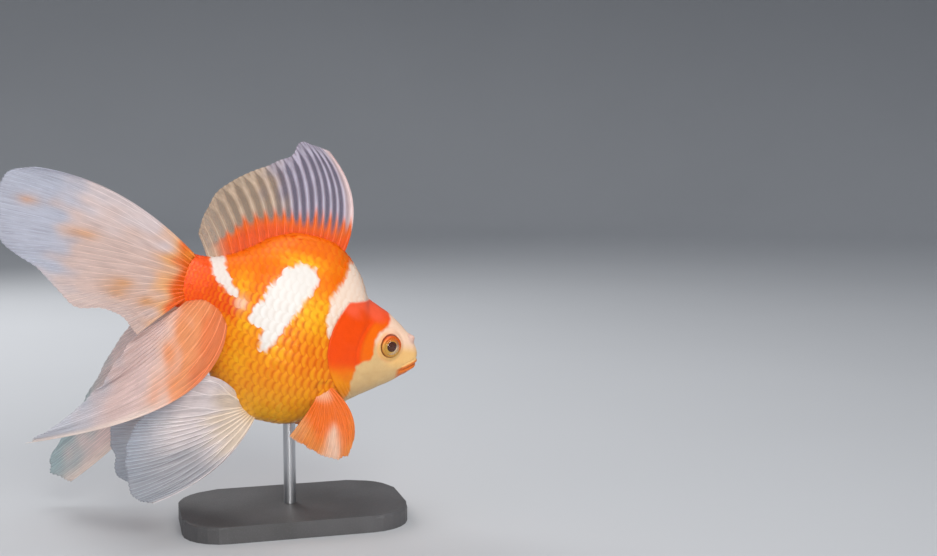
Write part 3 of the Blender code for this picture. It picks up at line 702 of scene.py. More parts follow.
def cornea_look():
    """The clear dome over the iris: nothing but its gloss."""
    look = Look("cornea", Roughness=0.03, Metallic=1.0)
    smear = look.noise(look.place(), 300.0, 2.0)
    look.paint(Base_Color=look.mix(smear, (0.9, 0.9, 0.92), (1.0, 1.0, 1.0)))
    sheen = look.wire("ShaderNodeFresnel", {}, {"IOR": 1.38})
    return look.thinned(sheen * look.range(smear, 0.3, 0.7, 0.35, 0.5), look.solid)


def base_look():
    """Dark powder coat: a fine orange-peel grain over a slow drift of grey."""
    look = Look("powder_coat", Specular_IOR_Level=0.5)
    where = look.place()
    peel = look.noise(where, 1600.0, 3.0)
    drift = look.noise(where, 40.0, 3.0)
    colour = look.mix(look.range(drift, 0.35, 0.65), tint(74, 73, 74), tint(86, 85, 87))
    colour = look.mix(look.range(peel, 0.5, 0.75, 0.0, 0.35), colour, tint(112, 111, 112))
    return look.paint(Base_Color=colour, Roughness=look.range(peel, 0.3, 0.7, 0.42, 0.62),
                      Normal=look.bump(peel, 0.00008, 0.5))


def rod_look():
    """Brushed steel, its scratches drawn along the rod."""
    look = Look("brushed_steel", Metallic=1.0)
    where = look.place()
    lines = look.streaks(where, (6000.0, 6000.0, 60.0), 4.0)
    smudge = look.noise(where, 90.0, 2.0)
    return look.paint(Base_Color=look.mix(lines, tint(176, 178, 182), tint(214, 215, 218)),
                      Roughness=look.range(lines, 0.3, 0.7, 0.22, 0.40) + 0.08 * smudge,
                      Normal=look.bump(lines, 0.00003, 0.6))


def studio_look():
    """Plain pale paint on the floor that rises into the backdrop."""
    look = Look("pale_sweep", Roughness=0.85, Specular_IOR_Level=0.2)
    where = look.place()
    drift = look.noise(where, 3.0, 2.0)
    floor = look.mix(drift, (0.56, 0.57, 0.59), (0.60, 0.61, 0.63))
    wall = look.mix(drift, (0.42, 0.43, 0.45), (0.46, 0.47, 0.49))
    return look.paint(Base_Color=look.mix(look.range(look.part(where, "Z"), 0.0, 0.5), floor, wall))


# ---- meshes ----
def grid_faces(rows, columns, wrapped=False, start=0):
    """Quads over a grid of points kept row by row."""
    across = np.arange(columns if wrapped else columns - 1)
    r, c = np.meshgrid(np.arange(rows - 1), across, indexing="ij")
    a = start + r * columns + c
    b = start + r * columns + (c + 1) % columns
    return np.stack((a, b, b + columns, a + columns), -1).reshape(-1, 4).tolist()


def tube_faces(rings, spokes):
    """Faces of a tube of rings, closed at both ends on two poles that follow its points."""
    faces = grid_faces(rings, spokes, True)
    last = (rings - 1) * spokes
    for i in range(spokes):
        j = (i + 1) % spokes
        faces.append((last + spokes, j, i))
        faces.append((last + spokes + 1, last + i, last + j))
    return faces


def rim_of(rows, columns):
    """The points round the rim of a grid, in order."""
    rim = list(range(columns)) + [r * columns + columns - 1 for r in range(1, rows)]
    rim += [(rows - 1) * columns + c for c in range(columns - 2, -1, -1)]
    return rim + [r * columns for r in range(rows - 2, 0, -1)]


def add_values(mesh, name, values):
    """Keep a number, a direction or a colour for each point of a mesh."""
    values = np.asarray(values, np.float32)
    if values.ndim == 1:
        mesh.attributes.new(name, "FLOAT", "POINT").data.foreach_set("value", values)
    elif values.shape[1] == 3 and not name.endswith("colour"):
        mesh.attributes.new(name, "FLOAT_VECTOR", "POINT").data.foreach_set("vector", values.ravel())
    else:
        values = np.concatenate((values, np.ones((len(values), 1), np.float32)), 1)
        mesh.attributes.new(name, "FLOAT_COLOR", "POINT").data.foreach_set("color", values.ravel())


def read_vectors(source, kind="vector"):
    values = np.zeros(len(source) * 3, np.float32)
    source.foreach_get(kind, values)
    return values.reshape(-1, 3)


def make_mesh(name, points, faces, look, **values):
    """A mesh of world points, its faces outward, smooth, with its values and finish."""
    mesh = bpy.data.meshes.new(name)
    mesh.from_pydata(np.asarray(points, float).reshape(-1, 3).tolist(), [], faces)
    face_outward(mesh)
    mesh.shade_smooth()
    for key, value in values.items():
        add_values(mesh, key, value)
    if look is not None:
        mesh.materials.append(look)
    return mesh


def face_outward(mesh):
    shape = bmesh.new()
    shape.from_mesh(mesh)
    bmesh.ops.recalc_face_normals(shape, faces=shape.faces)
    shape.to_mesh(mesh)
    shape.free()


def add_piece(name, data):
    piece = bpy.data.objects.new(name, data)
    bpy.context.scene.collection.objects.link(piece)
    return piece


def settle(piece, slot, *nodes):
    """A finished piece rides on the model's one body and stands for its nodes."""
    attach(piece, "root")
    if nodes:
        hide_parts(*nodes)
    return piece


# ---- skin ----
def gill_ring(turns):
    """Where each line along the body crosses the rear edge of the gill cover."""
    low, high = np.full(len(turns), 2.0), np.full(len(turns), 44.0)
    for _ in range(40):
        middle = (low + high) / 2
        ahead = middle > gill_edge(body_point(middle, turns)[:, 2])
        high = np.where(ahead, middle, high)
        low = np.where(ahead, low, middle)
    return low


def build_skin(look):
    """One skin over head, trunk and tail stalk, its rings following the gill edge."""
    turns = np.arange(SKIN_TURNS) * 2.0 * math.pi / SKIN_TURNS
    cut = gill_ring(turns)
    rear = np.concatenate((np.linspace(0.0, 0.95, 72, endpoint=False), np.linspace(0.95, 1.0, 17)))
    front = 1.0 - (1.0 - np.linspace(0.0, 1.0, 180)[1:-1]) ** 1.3
    rings = [STALK_END + (cut - STALK_END) * share for share in rear]
    rings += [cut + (SNOUT_END - cut) * share for share in front]
    x = np.array(rings)
    turn = np.broadcast_to(turns, x.shape)
    plain = body_point(x, turn)
    points = plain + body_normal(x, turn) * relief(plain)[..., None]

    tail = []
    for step in np.linspace(1.0, 0.06, 8):
        lean = math.acos(step)
        ring = points[0].copy()
        ring[:, 0] -= STALK_CAP * math.sin(lean)
        ring[:, 1] *= step
        ring[:, 2] = STALK_MIDDLE + (ring[:, 2] - STALK_MIDDLE) * (0.72 + 0.28 * step)
        tail.append(ring)
    points = np.concatenate((np.array(tail[:0:-1]), points))
    poles = [points[0].mean(0), (SNOUT_END + 0.02 - BARE_SINK, 0.0, -2.2)]
    flat = np.concatenate((points.reshape(-1, 3), poles))
    faces = tube_faces(len(points), SKIN_TURNS)
    mesh = make_mesh("skin", to_world(flat), faces, look, coat_colour=coat_colour(flat))
    return settle(add_piece("skin", mesh), "skin", "head", "gill_cover_right", "gill_cover_left",
                  "upper_lip", "lower_lip", "nostril_right", "nostril_left", "trunk", "tail_stalk")


# ---- scales ----
ARC_STEP = 0.5
ARC_XS = np.arange(STALK_END - 1.0, 36.0, ARC_STEP)
ARC_TURNS = np.linspace(-0.5 * math.pi - 0.5, 0.5 * math.pi + 0.5, 401)


def arc_table():
    """Distance round the left side from the lateral line, for each length and turn."""
    ring = body_point(ARC_XS[:, None], ARC_TURNS[None, :])
    steps = np.linalg.norm(np.diff(ring, axis=1), axis=2)
    arcs = np.concatenate((np.zeros((len(ARC_XS), 1)), np.cumsum(steps, 1)), 1)
    line = LATERAL_FRONT + LATERAL_RISE * (ARC_XS - LATERAL_START)
    inner = np.abs(ARC_TURNS) < 0.5 * math.pi
    for row, height in enumerate(line):
        arcs[row] -= np.interp(height, ring[row, inner, 2], arcs[row, inner])
    return arcs


ARCS = arc_table()


def row_scale(x):
    """How small the scales are at a length, against where the body is deepest."""
    top, bottom = section(np.asarray(x, float))[:2]
    return np.sqrt((top - bottom) / BODY_DEPTH)


def flank_point(x, arc):
    """Points of the left side at a length and a distance above the lateral line."""
    x, arc = np.broadcast_arrays(np.asarray(x, float), np.asarray(arc, float))
    flat_x, flat_arc = x.ravel(), arc.ravel()
    place = np.clip((flat_x - ARC_XS[0]) / ARC_STEP, 0, len(ARC_XS) - 1.001)
    i = place.astype(int)
    share = place - i
    turn = np.zeros(len(flat_x))
    for k in np.unique(i):
        here = i == k
        a = np.interp(flat_arc[here], ARCS[k], ARC_TURNS)
        b = np.interp(flat_arc[here], ARCS[k + 1], ARC_TURNS)
        turn[here] = a + (b - a) * share[here]
    return body_point(flat_x, turn).reshape(*x.shape, 3)


def scale_roots():
    """Where the scales of a side sit, in rows along the flank: length, arc, size and row."""
    xs = np.arange(33.0, STALK_END - 0.5, -0.25)
    nearest = np.clip(((xs - ARC_XS[0]) / ARC_STEP).astype(int), 0, len(ARC_XS) - 1)
    lowest, highest = [[np.interp(turn, ARC_TURNS, arcs) for arcs in ARCS[nearest]]
                       for turn in (-0.5 * math.pi, 0.5 * math.pi)]
    places = []
    for row in range(-16, 17):
        line = flank_point(xs, row * ROW_HEIGHT * row_scale(xs))
        steps = np.linalg.norm(np.diff(line, axis=0), axis=1) / (ROW_PITCH * row_scale(xs[1:]))
        count = np.concatenate(((0.0,), np.cumsum(steps)))
        count -= np.interp(0.0, -xs, count)
        count += 0.5 * (row % 2)
        for number in range(math.ceil(count[0]), math.floor(count[-1]) + 1):
            x = np.interp(number, count, xs)
            size = float(row_scale(x))
            arc = row * ROW_HEIGHT * size
            spare = 0.35 * ROW_HEIGHT * size
            if np.interp(-x, -xs, lowest) - spare < arc < np.interp(-x, -xs, highest) + spare:
                places.append((x, arc, size, row))
    places = np.array(places)
    middle = flank_point(places[:, 0], places[:, 1])
    return places[on_head(middle[:, 0] + 0.2, middle[:, 2]) < 0.0]


def scale_shape():
    """One scale, domed, its front end sunk and its rounded rear edge free."""
    rows, columns = 6, 7
    r, c = np.meshgrid(np.arange(rows), np.arange(columns), indexing="ij")
    v = -1.0 + 2.0 * c / (columns - 1)
    aside = np.abs(v)
    rear = 1.0 - 0.30 * aside ** 2.2
    u = rear * r / (rows - 1)
    wide = 0.80 + 0.20 * np.sin(math.pi * np.minimum(u * 1.1, 1.0))
    within = (r > 0) & (r < rows - 1) & (c > 0) & (c < columns - 1)
    lift = -0.22 + 0.54 * u - 0.10 * aside ** 2.5 + 0.05 * within
    points = np.stack(((0.75 - u) * 2.0 * ROW_PITCH, v * wide * 0.80 * ROW_HEIGHT, lift), -1)
    margin = np.where(r > 2, np.maximum(u / rear, aside), aside)
    place = np.stack((u, v * wide, margin), -1)
    points = np.vstack((points.reshape(-1, 3), (0.5 * ROW_PITCH, 0.0, -0.55))) * MM
    place = np.vstack((place.reshape(-1, 3), (0.5, 0.0, 0.5)))
    rim = rim_of(rows, columns)
    faces = grid_faces(rows, columns)
    faces += [(rows * columns, after, before) for before, after in zip(rim, rim[1:] + rim[:1])]
    mesh = make_mesh("scale_shape", points, faces, None, place=place, local=points)
    mesh.set_sharp_from_angle(angle=math.radians(55))
    return bpy.data.objects.new("scale_shape", mesh)


class Recipe(Graph):
    """A geometry node tree with named inputs, which gives what it makes a finish."""

    def __init__(self, name, **inputs):
        super().__init__(bpy.data.node_groups.new(name, "GeometryNodeTree"))
        sockets = self.tree.interface
        self.keys = {}
        for key, kind in inputs.items():
            made = sockets.new_socket(key, in_out="INPUT", socket_type="NodeSocket" + kind)
            self.keys[key] = made.identifier
        sockets.new_socket("Made", in_out="OUTPUT", socket_type="NodeSocketGeometry")
        given = self.node("NodeGroupInput")
        self.given = {key: Wire(self, given.outputs[key]) for key in inputs}

    def named(self, name, data_type="FLOAT_VECTOR"):
        return self.wire("GeometryNodeInputNamedAttribute", {"data_type": data_type}, {"Name": name})

    def vector(self, operation, values, output=0):
        return self.wire("ShaderNodeVectorMath", {"operation": operation}, values, output)

    def finish(self, geometry):
        done = self.wire("GeometryNodeSetMaterial", {},
                         {"Geometry": geometry, "Material": self.given["Finish"]})
        self.feed(self.node("NodeGroupOutput").inputs[0], done)
        return self


def scale_tree():
    """A scale on every root, turned, sized and bent to the body."""
    tree = Recipe("scale_rows", Roots="Geometry", Scale="Object", Seed="Int", Finish="Material")
    roots, shape, seed = [tree.given[key] for key in ("Roots", "Scale", "Seed")]
    tone = tree.wire("FunctionNodeRandomValue", {"data_type": "FLOAT"}, {2: 0.0, 3: 1.0, "Seed": seed}, 1)
    toned = tree.wire("GeometryNodeStoreNamedAttribute", {"data_type": "FLOAT", "domain": "POINT"},
                      {"Geometry": roots, "Name": "tone", "Value": tone})
    one = tree.wire("GeometryNodeObjectInfo", {}, {"Object": shape}, "Geometry")
    coat = tree.wire("GeometryNodeInstanceOnPoints", {}, {
        "Points": toned, "Instance": one, "Rotation": tree.named("facing", "QUATERNION"),
        "Scale": tree.named("size")})
    real = tree.wire("GeometryNodeRealizeInstances", {}, {"Geometry": coat})
    sized = tree.vector("MULTIPLY", {0: tree.named("local"), 1: tree.named("size")})
    squared = tree.vector("MULTIPLY", {0: sized, 1: sized})
    sag = tree.vector("DOT_PRODUCT", {0: squared, 1: tree.named("bend")}, "Value")
    drop = tree.vector("SCALE", {0: tree.named("outward"), "Scale": sag * -0.5})
    return tree.finish(tree.wire("GeometryNodeSetPosition", {}, {"Geometry": real, "Offset": drop}))


def realized(name, source, recipe, **values):
    """What a node tree makes of an object, as a plain mesh in a piece of its own."""
    step = source.modifiers.new("tree", "NODES")
    step.node_group = recipe.tree
    for key, value in values.items():
        step[recipe.keys[key]] = value
    graph = bpy.context.evaluated_depsgraph_get()
    mesh = bpy.data.meshes.new_from_object(source.evaluated_get(graph))
    mesh.name = name
    source.modifiers.remove(step)
    bpy.data.objects.remove(source)
    return add_piece(name, mesh)


def quaternions(forward, across, outward):
    """Turns that carry x, y and z on to three directions each."""
    return np.array([Matrix((f, a, o)).transposed().to_quaternion()[:]
                     for f, a, o in zip(forward.tolist(), across.tolist(), outward.tolist())])


def build_scales(word, side, draw, tone, seam, shape, recipe, look):
    """The scales of one side; draw and tone seed its unevenness, seam is where it is unwrapped."""
    x, arc, size, row = scale_roots().T
    mirror = np.array((1.0, side, 1.0))

    def near(dx, da):
        """Points beside each root: dx forward along its row, da round the body."""
        at = x + dx * size
        return flank_point(at, row * ROW_HEIGHT * row_scale(at) + da * size) * mirror

    def bend(one, other):
        """How sharply the body curves away between two points on either side of each root."""
        reach = np.linalg.norm(one - other, axis=1) / 2
        return 2 * ((middle - (one + other) / 2) * outward).sum(1) / reach ** 2 / MM

    half_long, half_tall = 0.9 * ROW_PITCH, 0.7 * ROW_HEIGHT
    middle = near(0.0, 0.0)
    ahead, behind = near(half_long, 0.0), near(-half_long, 0.0)
    above, below = near(0.0, half_tall), near(0.0, -half_tall)
    forward = unit(ahead - behind)
    outward = unit(np.cross(forward, above - below)) * side
    outward *= np.sign((outward * (middle - np.array((0.0, 0.0, -2.0))) * (0.2, 1, 1)).sum(1))[:, None]
    across = np.cross(outward, forward)
    rng = np.random.default_rng(draw)
    wobble = rng.normal(0.0, 0.05, (len(x), 1))
    grown = size * rng.uniform(0.97, 1.03, len(x))
    forward = unit(forward + across * wobble)
    across = np.cross(outward, forward)
    mesh = bpy.data.meshes.new("roots")
    mesh.from_pydata(to_world(middle - outward * COAT_DEPTH).tolist(), [], [])
    along_patch = 0.02 + 0.96 * (x - STALK_END) / COAT_LONG
    for name, values in (("size", (grown, grown, 0.55 + 0.45 * size)),
                         ("outward", pitched(outward).T),
                         ("rear", near(-0.3 * ROW_PITCH, 0.0).T),
                         ("bend", (bend(ahead, behind), bend(above, below), 0 * x)),
                         ("patch", (along_patch, seam + arc / COAT_ROUND, 0 * x))):
        add_values(mesh, name, np.stack(values, 1))
    facing = mesh.attributes.new("facing", "QUATERNION", "POINT")
    turns = quaternions(pitched(forward), pitched(across), pitched(outward))
    facing.data.foreach_set("value", turns.astype(np.float32).ravel())
    roots = add_piece("roots_" + word, mesh)
    piece = realized("scales_" + word, roots, recipe, Scale=shape, Seed=tone, Finish=look)
    colour_scales(piece.data)
    lay_bake_map(piece.data)
    return settle(piece, "skin")


def colour_scales(mesh):
    """The skin's own markings on the scales, drawn a little towards one colour a scale, and how strongly
    each carries its painted shade and highlight.
    """
    here = from_world(read_vectors(mesh.vertices, "co").astype(float))
    rear = read_vectors(mesh.attributes["rear"].data).astype(float)
    colour = coat_colour(rear + (here - rear) * 0.7)
    add_values(mesh, "coat_colour", colour)
    whiteness = smooth(0.25, 0.6, colour[:, 2])
    add_values(mesh, "whiteness", whiteness)
    # Painted shade and highlight on the scales: weaker high on the back, on white and towards the tail
    # stalk.
    netting = (1.0 - 0.72 * smooth(8.0, 24.0, rear[:, 2])) * (1.0 - 0.55 * whiteness)
    add_values(mesh, "netting", netting * (0.3 + 0.7 * smooth(-44.0, -26.0, rear[:, 0])))


def lay_bake_map(mesh):
    """Each scale a small patch at its root's place on an unwrap of the skin."""
    spots = read_vectors(mesh.attributes["patch"].data)[:, :2]
    place = read_vectors(mesh.attributes["place"].data)
    spots = spots + (place[:, :2] * (1.0, 0.5) - (0.5, 0.0)) * 0.003
    corners = np.zeros(len(mesh.loops), np.int32)
    mesh.loops.foreach_get("vertex_index", corners)
    layer = mesh.uv_layers.new(name="OFBake")
    layer.data.foreach_set("uv", spots[corners].astype(np.float32).ravel())


# ---- eyes ----
def turned_shape(profile, spokes=64):
    """A closed shape turned about an eye's axis; profile is (radius, outward)."""
    angle = np.arange(spokes) * 2.0 * math.pi / spokes
    rings = [np.stack((radius * np.cos(angle), np.full(spokes, out), radius * np.sin(angle)), 1)
             for radius, out in profile[1:-1]]
    poles = [(0.0, out, 0.0) for _, out in (profile[0], profile[-1])]
    return np.concatenate((np.concatenate(rings), poles)), tube_faces(len(rings), spokes)


def in_socket(points, side):
    """Points about an eye's axis set in its socket, swung a little forward."""
    x, out, z = points.T
    c, s = math.cos(EYE_SWING), math.sin(EYE_SWING)
    return np.stack((EYE[0] - EYE_SET_BACK + x * c + out * s, side * (EYE[1] + out * c - x * s),
                     EYE[2] + z), 1)


def build_eye(word, side, iris, cornea):
    """A globe with a hollow iris and pupil, under a clear dome."""
    pupil, rim, ball = 2.2, 4.62, 5.1
    profile = [(0.0, 3.70), (0.6, 3.72), (1.3, 3.74), (1.8, 3.70), (pupil, 3.60), (2.35, 3.90)]
    profile += [(r, 3.92 - 0.11 * (r - 2.4)) for r in (2.6, 3.0, 3.45, 3.9)]
    profile += [(4.35, 3.60), (rim, 3.24), (4.85, 2.50)]
    for degrees in (22, 12, 0, -15, -30, -50, -70):
        lean = math.radians(degrees)
        profile.append((ball * math.cos(lean), ball * math.sin(lean)))
    profile.append((0.0, -ball))
    flat, faces = turned_shape(profile)
    radius = np.hypot(flat[:, 0], flat[:, 2])
    upper = flat[:, 2] / np.maximum(radius, 0.01)
    ahead = flat[:, 0] / np.maximum(radius, 0.01)
    mesh = make_mesh("eye_" + word, to_world(in_socket(flat, side)), faces, iris,
                     ring=(radius - 2.3) / (rim - 2.3), upper=upper + 0.25 * ahead,
                     spoke=np.stack((ahead, upper, radius), 1))
    settle(add_piece("eye_globe_" + word, mesh), "eye", "eye_" + word)

    dome = [(r, math.sqrt(EYE_RADIUS ** 2 - r * r))
            for r in (0.0, 0.5, 1.2, 1.9, 2.6, 3.2, 3.7, 4.1, 4.4, 4.6)]
    shell = dome + [(r - 0.02, out - 0.22) for r, out in dome[9:0:-1]] + [(0.0, EYE_RADIUS - 0.22)]
    flat, faces = turned_shape(shell)
    mesh = make_mesh("cornea_" + word, to_world(in_socket(flat, side)), faces, cornea)
    settle(add_piece("cornea_" + word, mesh), "eye")


# ---- fins ----
def longer(rows, factor):
    """The rays of a fin drawn out from their roots."""
    rows = np.array(rows)
    root = np.tile(rows[:, :3], 3)
    return root + (rows - root) * np.repeat((1.0, factor, factor), 3)


def swung(rows, degrees, shorter):
    """The rays of a lobe turned about the tail stalk and drawn in, least at the fork."""
    out = []
    for i, row in enumerate(rows):
        amount = 1.0 - i / (len(rows) - 1)
        turn = math.radians(degrees) * amount
        new = list(row[0:3])
        for k, share in ((3, 0.5), (6, 1.0)):
            scale = 1.0 - (1.0 - shorter) * share * amount
            arm = tilted(row[k:k + 3] - TAIL_PIVOT, turn)
            new += (TAIL_PIVOT + scale * arm).tolist()
        out.append(new)
    return out


WEB_STEPS = 64         # faces from the root of a web to its edge


class Fin:
    """A fin's sheet: rays fan across it (0 to 1) and run out to its edge (0 to 1)."""

    def __init__(self, rows, seed, left, wave, rays, forks, pleat, ragged, thick, paint):
        self.rows = np.array(rows, float)
        self.seed, self.side = seed, (-1.0 if left else 1.0)
        self.wave, self.rays, self.forks = wave, rays, forks
        self.pleat, self.ragged, self.thick, self.paint = pleat, ragged, thick, paint

    def row(self, across):
        rows = self.rows
        place = across * (len(rows) - 1)
        i = np.clip(place.astype(int), 0, len(rows) - 2)
        t = (place - i)[..., None]
        a, b = rows[np.maximum(i - 1, 0)], rows[i]
        c, d = rows[i + 1], rows[np.minimum(i + 2, len(rows) - 1)]
        return 0.5 * (2 * b + (c - a) * t + (2 * a - 5 * b + 4 * c - d) * t * t
                      + (3 * b - 3 * c + d - a) * t ** 3)

    def plain(self, across, out):
        across, out = np.broadcast_arrays(np.asarray(across, float), np.asarray(out, float))
        row = self.row(across)
        root, mid, tip = row[..., 0:3], row[..., 3:6], row[..., 6:9]
        far = out[..., None]
        bow = 2.0 * mid - 0.5 * (root + tip)
        point = root * (1 - far) ** 2 + 2 * bow * far * (1 - far) + tip * far * far
        height, count, phase = self.wave
        point[..., 1] += height * out ** 1.6 * np.sin(2.0 * math.pi * (count * across + phase))
        return point

    def normal(self, across, out):
        step = 0.012
        du = self.plain(np.minimum(across + step, 1), out) - self.plain(np.maximum(across - step, 0), out)
        dv = self.plain(across, np.minimum(out + step, 1)) - self.plain(across, np.maximum(out - step, 0))
        return unit(np.cross(du, dv))

    def spread(self, out, level):
        """How far the two branches of a fork have parted at a distance out."""
        start, end = self.forks[level]
        return smooth(start, end, out) * 0.25 / 2 ** level

    def off_ray(self, across, out):
        """Distance to the nearest branch, in the spacing of the rays."""
        lane = across * self.rays
        gap = np.abs(lane - np.floor(lane) - 0.5)
        for level in range(len(self.forks)):
            gap = np.abs(gap - self.spread(out, level))
        return gap

    def sheet(self, across, out):
        """The middle of the web, pleated between the rays and ruffled at its edge."""
        crest = np.cos(math.pi * np.clip(self.off_ray(across, out) * 4.0, 0, 1))
        lift = self.pleat * (0.3 + 0.7 * out) * smooth(0.04, 0.25, out) * crest
        ruffle = np.sin(across * 31.0 + self.seed) + np.sin(across * 53.0 + 2.1 * self.seed + 3.0 * out)
        lift = lift + 0.35 * ruffle * smooth(0.55, 1.0, out)
        point = self.plain(across, out) + self.normal(across, out) * lift[..., None]
        point[..., 1] *= self.side
        return point

    def half_thick(self, across, out):
        """Half the web's thickness: stoutest at the root, fine at the edge."""
        root, edge = self.thick
        half = 0.5 * (edge + (root - edge) * (1.0 - smooth(0.0, 0.35, out)))
        return half * (1.0 - 0.7 * smooth(0.96, 1.0, out / self.edge(across)))

    def edge(self, across):
        """How far out the web reaches: notched between branches, a little frayed."""
        tip = np.ones_like(across)
        notch = np.clip(self.off_ray(across, tip) * 2.0 ** (len(self.forks) + 1), 0, 1)
        slow = np.sin(across * 19.0 + self.seed) * np.sin(across * 7.3 + 1.7 * self.seed)
        return 1.0 - self.ragged * (0.25 * notch + 0.75 * slow ** 2)

    def values(self, across, out, points):
        """What the webs and rays keep at each point: colour, cover and place on the fin."""
        colour, cover = self.paint(self, across, out, *np.moveaxis(points[..., ::2], -1, 0))
        return {"film_colour": colour.reshape(-1, 3), "cover": cover.ravel(),
                "flow": np.stack((across.ravel(), out.ravel(), 0 * out.ravel()), 1)}


def build_web(name, fin, look, node, slot):
    """The web of a fin: a closed thin sheet, thickest at its root."""
    u = np.linspace(0.0, 1.0, fin.rays * 2 ** (len(fin.forks) + 2) + 1)
    across, out = np.meshgrid(u, np.linspace(0.0, 1.0, WEB_STEPS + 1), indexing="ij")
    out = out * fin.edge(u)[:, None]
    middle = fin.sheet(across, out)
    normal = fin.normal(across, out) * (1, fin.side, 1)
    half = fin.half_thick(across, out)[..., None]
    front, back = middle + normal * half, middle - normal * half
    count = across.size
    faces = grid_faces(*across.shape) + grid_faces(*across.shape, start=count)
    rim = rim_of(*across.shape)
    faces += [(k, j, count + j, count + k) for k, j in zip(rim, rim[1:] + rim[:1])]
    values = fin.values(across, out, middle)
    values = {key: np.concatenate((value, value)) for key, value in values.items()}
    mesh = make_mesh(name, to_world(np.stack((front, back))), faces, look, **values)
    return settle(add_piece(name, mesh), slot, node)


def ray_tree():
    """Round tubes along the drawn rays, as thick as each point says."""
    tree = Recipe("fin_rays", Lines="Geometry", Sides="Int", Finish="Material")
    curves = tree.wire("GeometryNodeMeshToCurve", {}, {"Mesh": tree.given["Lines"]})
    ring = tree.wire("GeometryNodeCurvePrimitiveCircle", {},
                     {"Resolution": tree.given["Sides"], "Radius": 1.0})
    tubes = tree.wire("GeometryNodeCurveToMesh", {}, {
        "Curve": curves, "Profile Curve": ring, "Scale": tree.named("width", "FLOAT"),
        "Fill Caps": True})
    soft = tree.wire("GeometryNodeSetShadeSmooth", {}, {"Geometry": tubes})
    return tree.finish(tree.wire("GeometryNodeRealizeInstances", {}, {"Geometry": soft}))


def ray_lines(fin):
    """Every stretch of ray between forks, as (across, out, level) along it."""
    stretches = []
    starts = [0.0] + [start for start, _ in fin.forks] + [1.0]
    for ray in range(fin.rays):
        for level in range(len(fin.forks) + 1):
            for branch in range(2 ** level):
                out = np.linspace(starts[level], starts[level + 1], 14 if level == 0 else 12)
                lane = np.full_like(out, 0.5)
                for fork in range(level):
                    lane += fin.spread(out, fork) * (1 if branch >> fork & 1 else -1)
                stretches.append(((ray + lane) / fin.rays, out, level))
    return stretches


def build_rays(name, fin, look, recipe, slot, stout):
    """The rays of a fin as slender tubes that stand a little proud of the web."""
    edges, across, out, width = [], [], [], []
    for lane, reach, level in ray_lines(fin):
        reach = np.minimum(reach, fin.edge(lane) - 0.002)
        start = len(across)
        across.extend(lane)
        out.extend(reach)
        proud = stout * (1.0 - 0.7 * smooth(0.0, 0.9, reach)) * 0.84 ** level
        width.extend(fin.half_thick(lane, reach) + proud)
        edges.extend((start + i, start + i + 1) for i in range(len(lane) - 1))
    across, out = np.array(across), np.array(out)
    points = fin.sheet(across, out)
    mesh = bpy.data.meshes.new(name)
    mesh.from_pydata(to_world(points).tolist(), edges, [])
    add_values(mesh, "width", np.array(width) * MM)
    for key, value in fin.values(across, out, points).items():
        add_values(mesh, key, value)
    piece = realized(name, add_piece(name + "_lines", mesh), recipe, Sides=6, Finish=look)
    face_outward(piece.data)
    return settle(piece, slot)


FILM_LILAC = tint(200, 205, 221)
FILM_WHITE = tint(236, 222, 222)
FILM_PINK = tint(232, 206, 196)
FILM_PEACH = tint(254, 194, 132)
FILM_RED = tint(248, 106, 24)
FILM_BEIGE = tint(206, 186, 164)


def paint_tail_upper(fin, across, out, x, z):
    wander = ripple(x * 0.6, z * 1.6, 9.0, 31)
    colour = layered(
        FILM_PINK, (FILM_WHITE, smooth(0.34, 0.05, across + 0.05 * wander)),
        (FILM_LILAC, smooth(-88, -104, x + 4 * wander)), (FILM_PEACH, smooth(-64, -51, x + 2.5 * wander)),
        (FILM_RED, smooth(-55.0, -49.0, x + 1.2 * wander)),
        (tint(255, 158, 50), hump(x + 47.5, 4.5) * hump(z - 21.5, 3.0) * 0.8))
    colour = dappled(colour, tint(230, 156, 62), x, z, 0.4 * wander, (
        (-112, 30.5, 3.6, 2.2, 0.6), (-90, 21.5, 5.0, 2.2, 0.55),
        (-72, 4.0, 6.0, 3.4, 0.75), (-61, 0.0, 4.0, 2.4, 0.55)))
    return colour, 1.0 - 0.33 * smooth(0.08, 1.0, out)


def paint_tail_lower(fin, across, out, x, z):
    wander = ripple(x, z, 9.0, 32)
    far = tint(210, 212, 222) if fin.side > 0 else tint(160, 186, 190)
    colour = layered(
        tint(238, 210, 204), (far, smooth(-62, -80, x + 2.5 * wander)),
        (tint(248, 208, 190), smooth(-58, -50, x + 2.0 * wander)),
        (tint(251, 164, 108), smooth(-52, -43, x + 2.0 * wander)),
        (tint(248, 136, 78), smooth(-41, -33, x + 1.5 * wander)),
        (tint(250, 232, 220), smooth(0.86, 0.97, across) * smooth(-40, -56, x) * 0.8))
    cover = 0.97 - 0.28 * smooth(0.2, 1.0, out) + 0.2 * smooth(0.85, 1.0, across)
    cover = cover - 0.45 * smooth(0.78, 1.0, across) * smooth(0.62, 0.25, out)
    return colour, np.clip(cover, 0, 1)


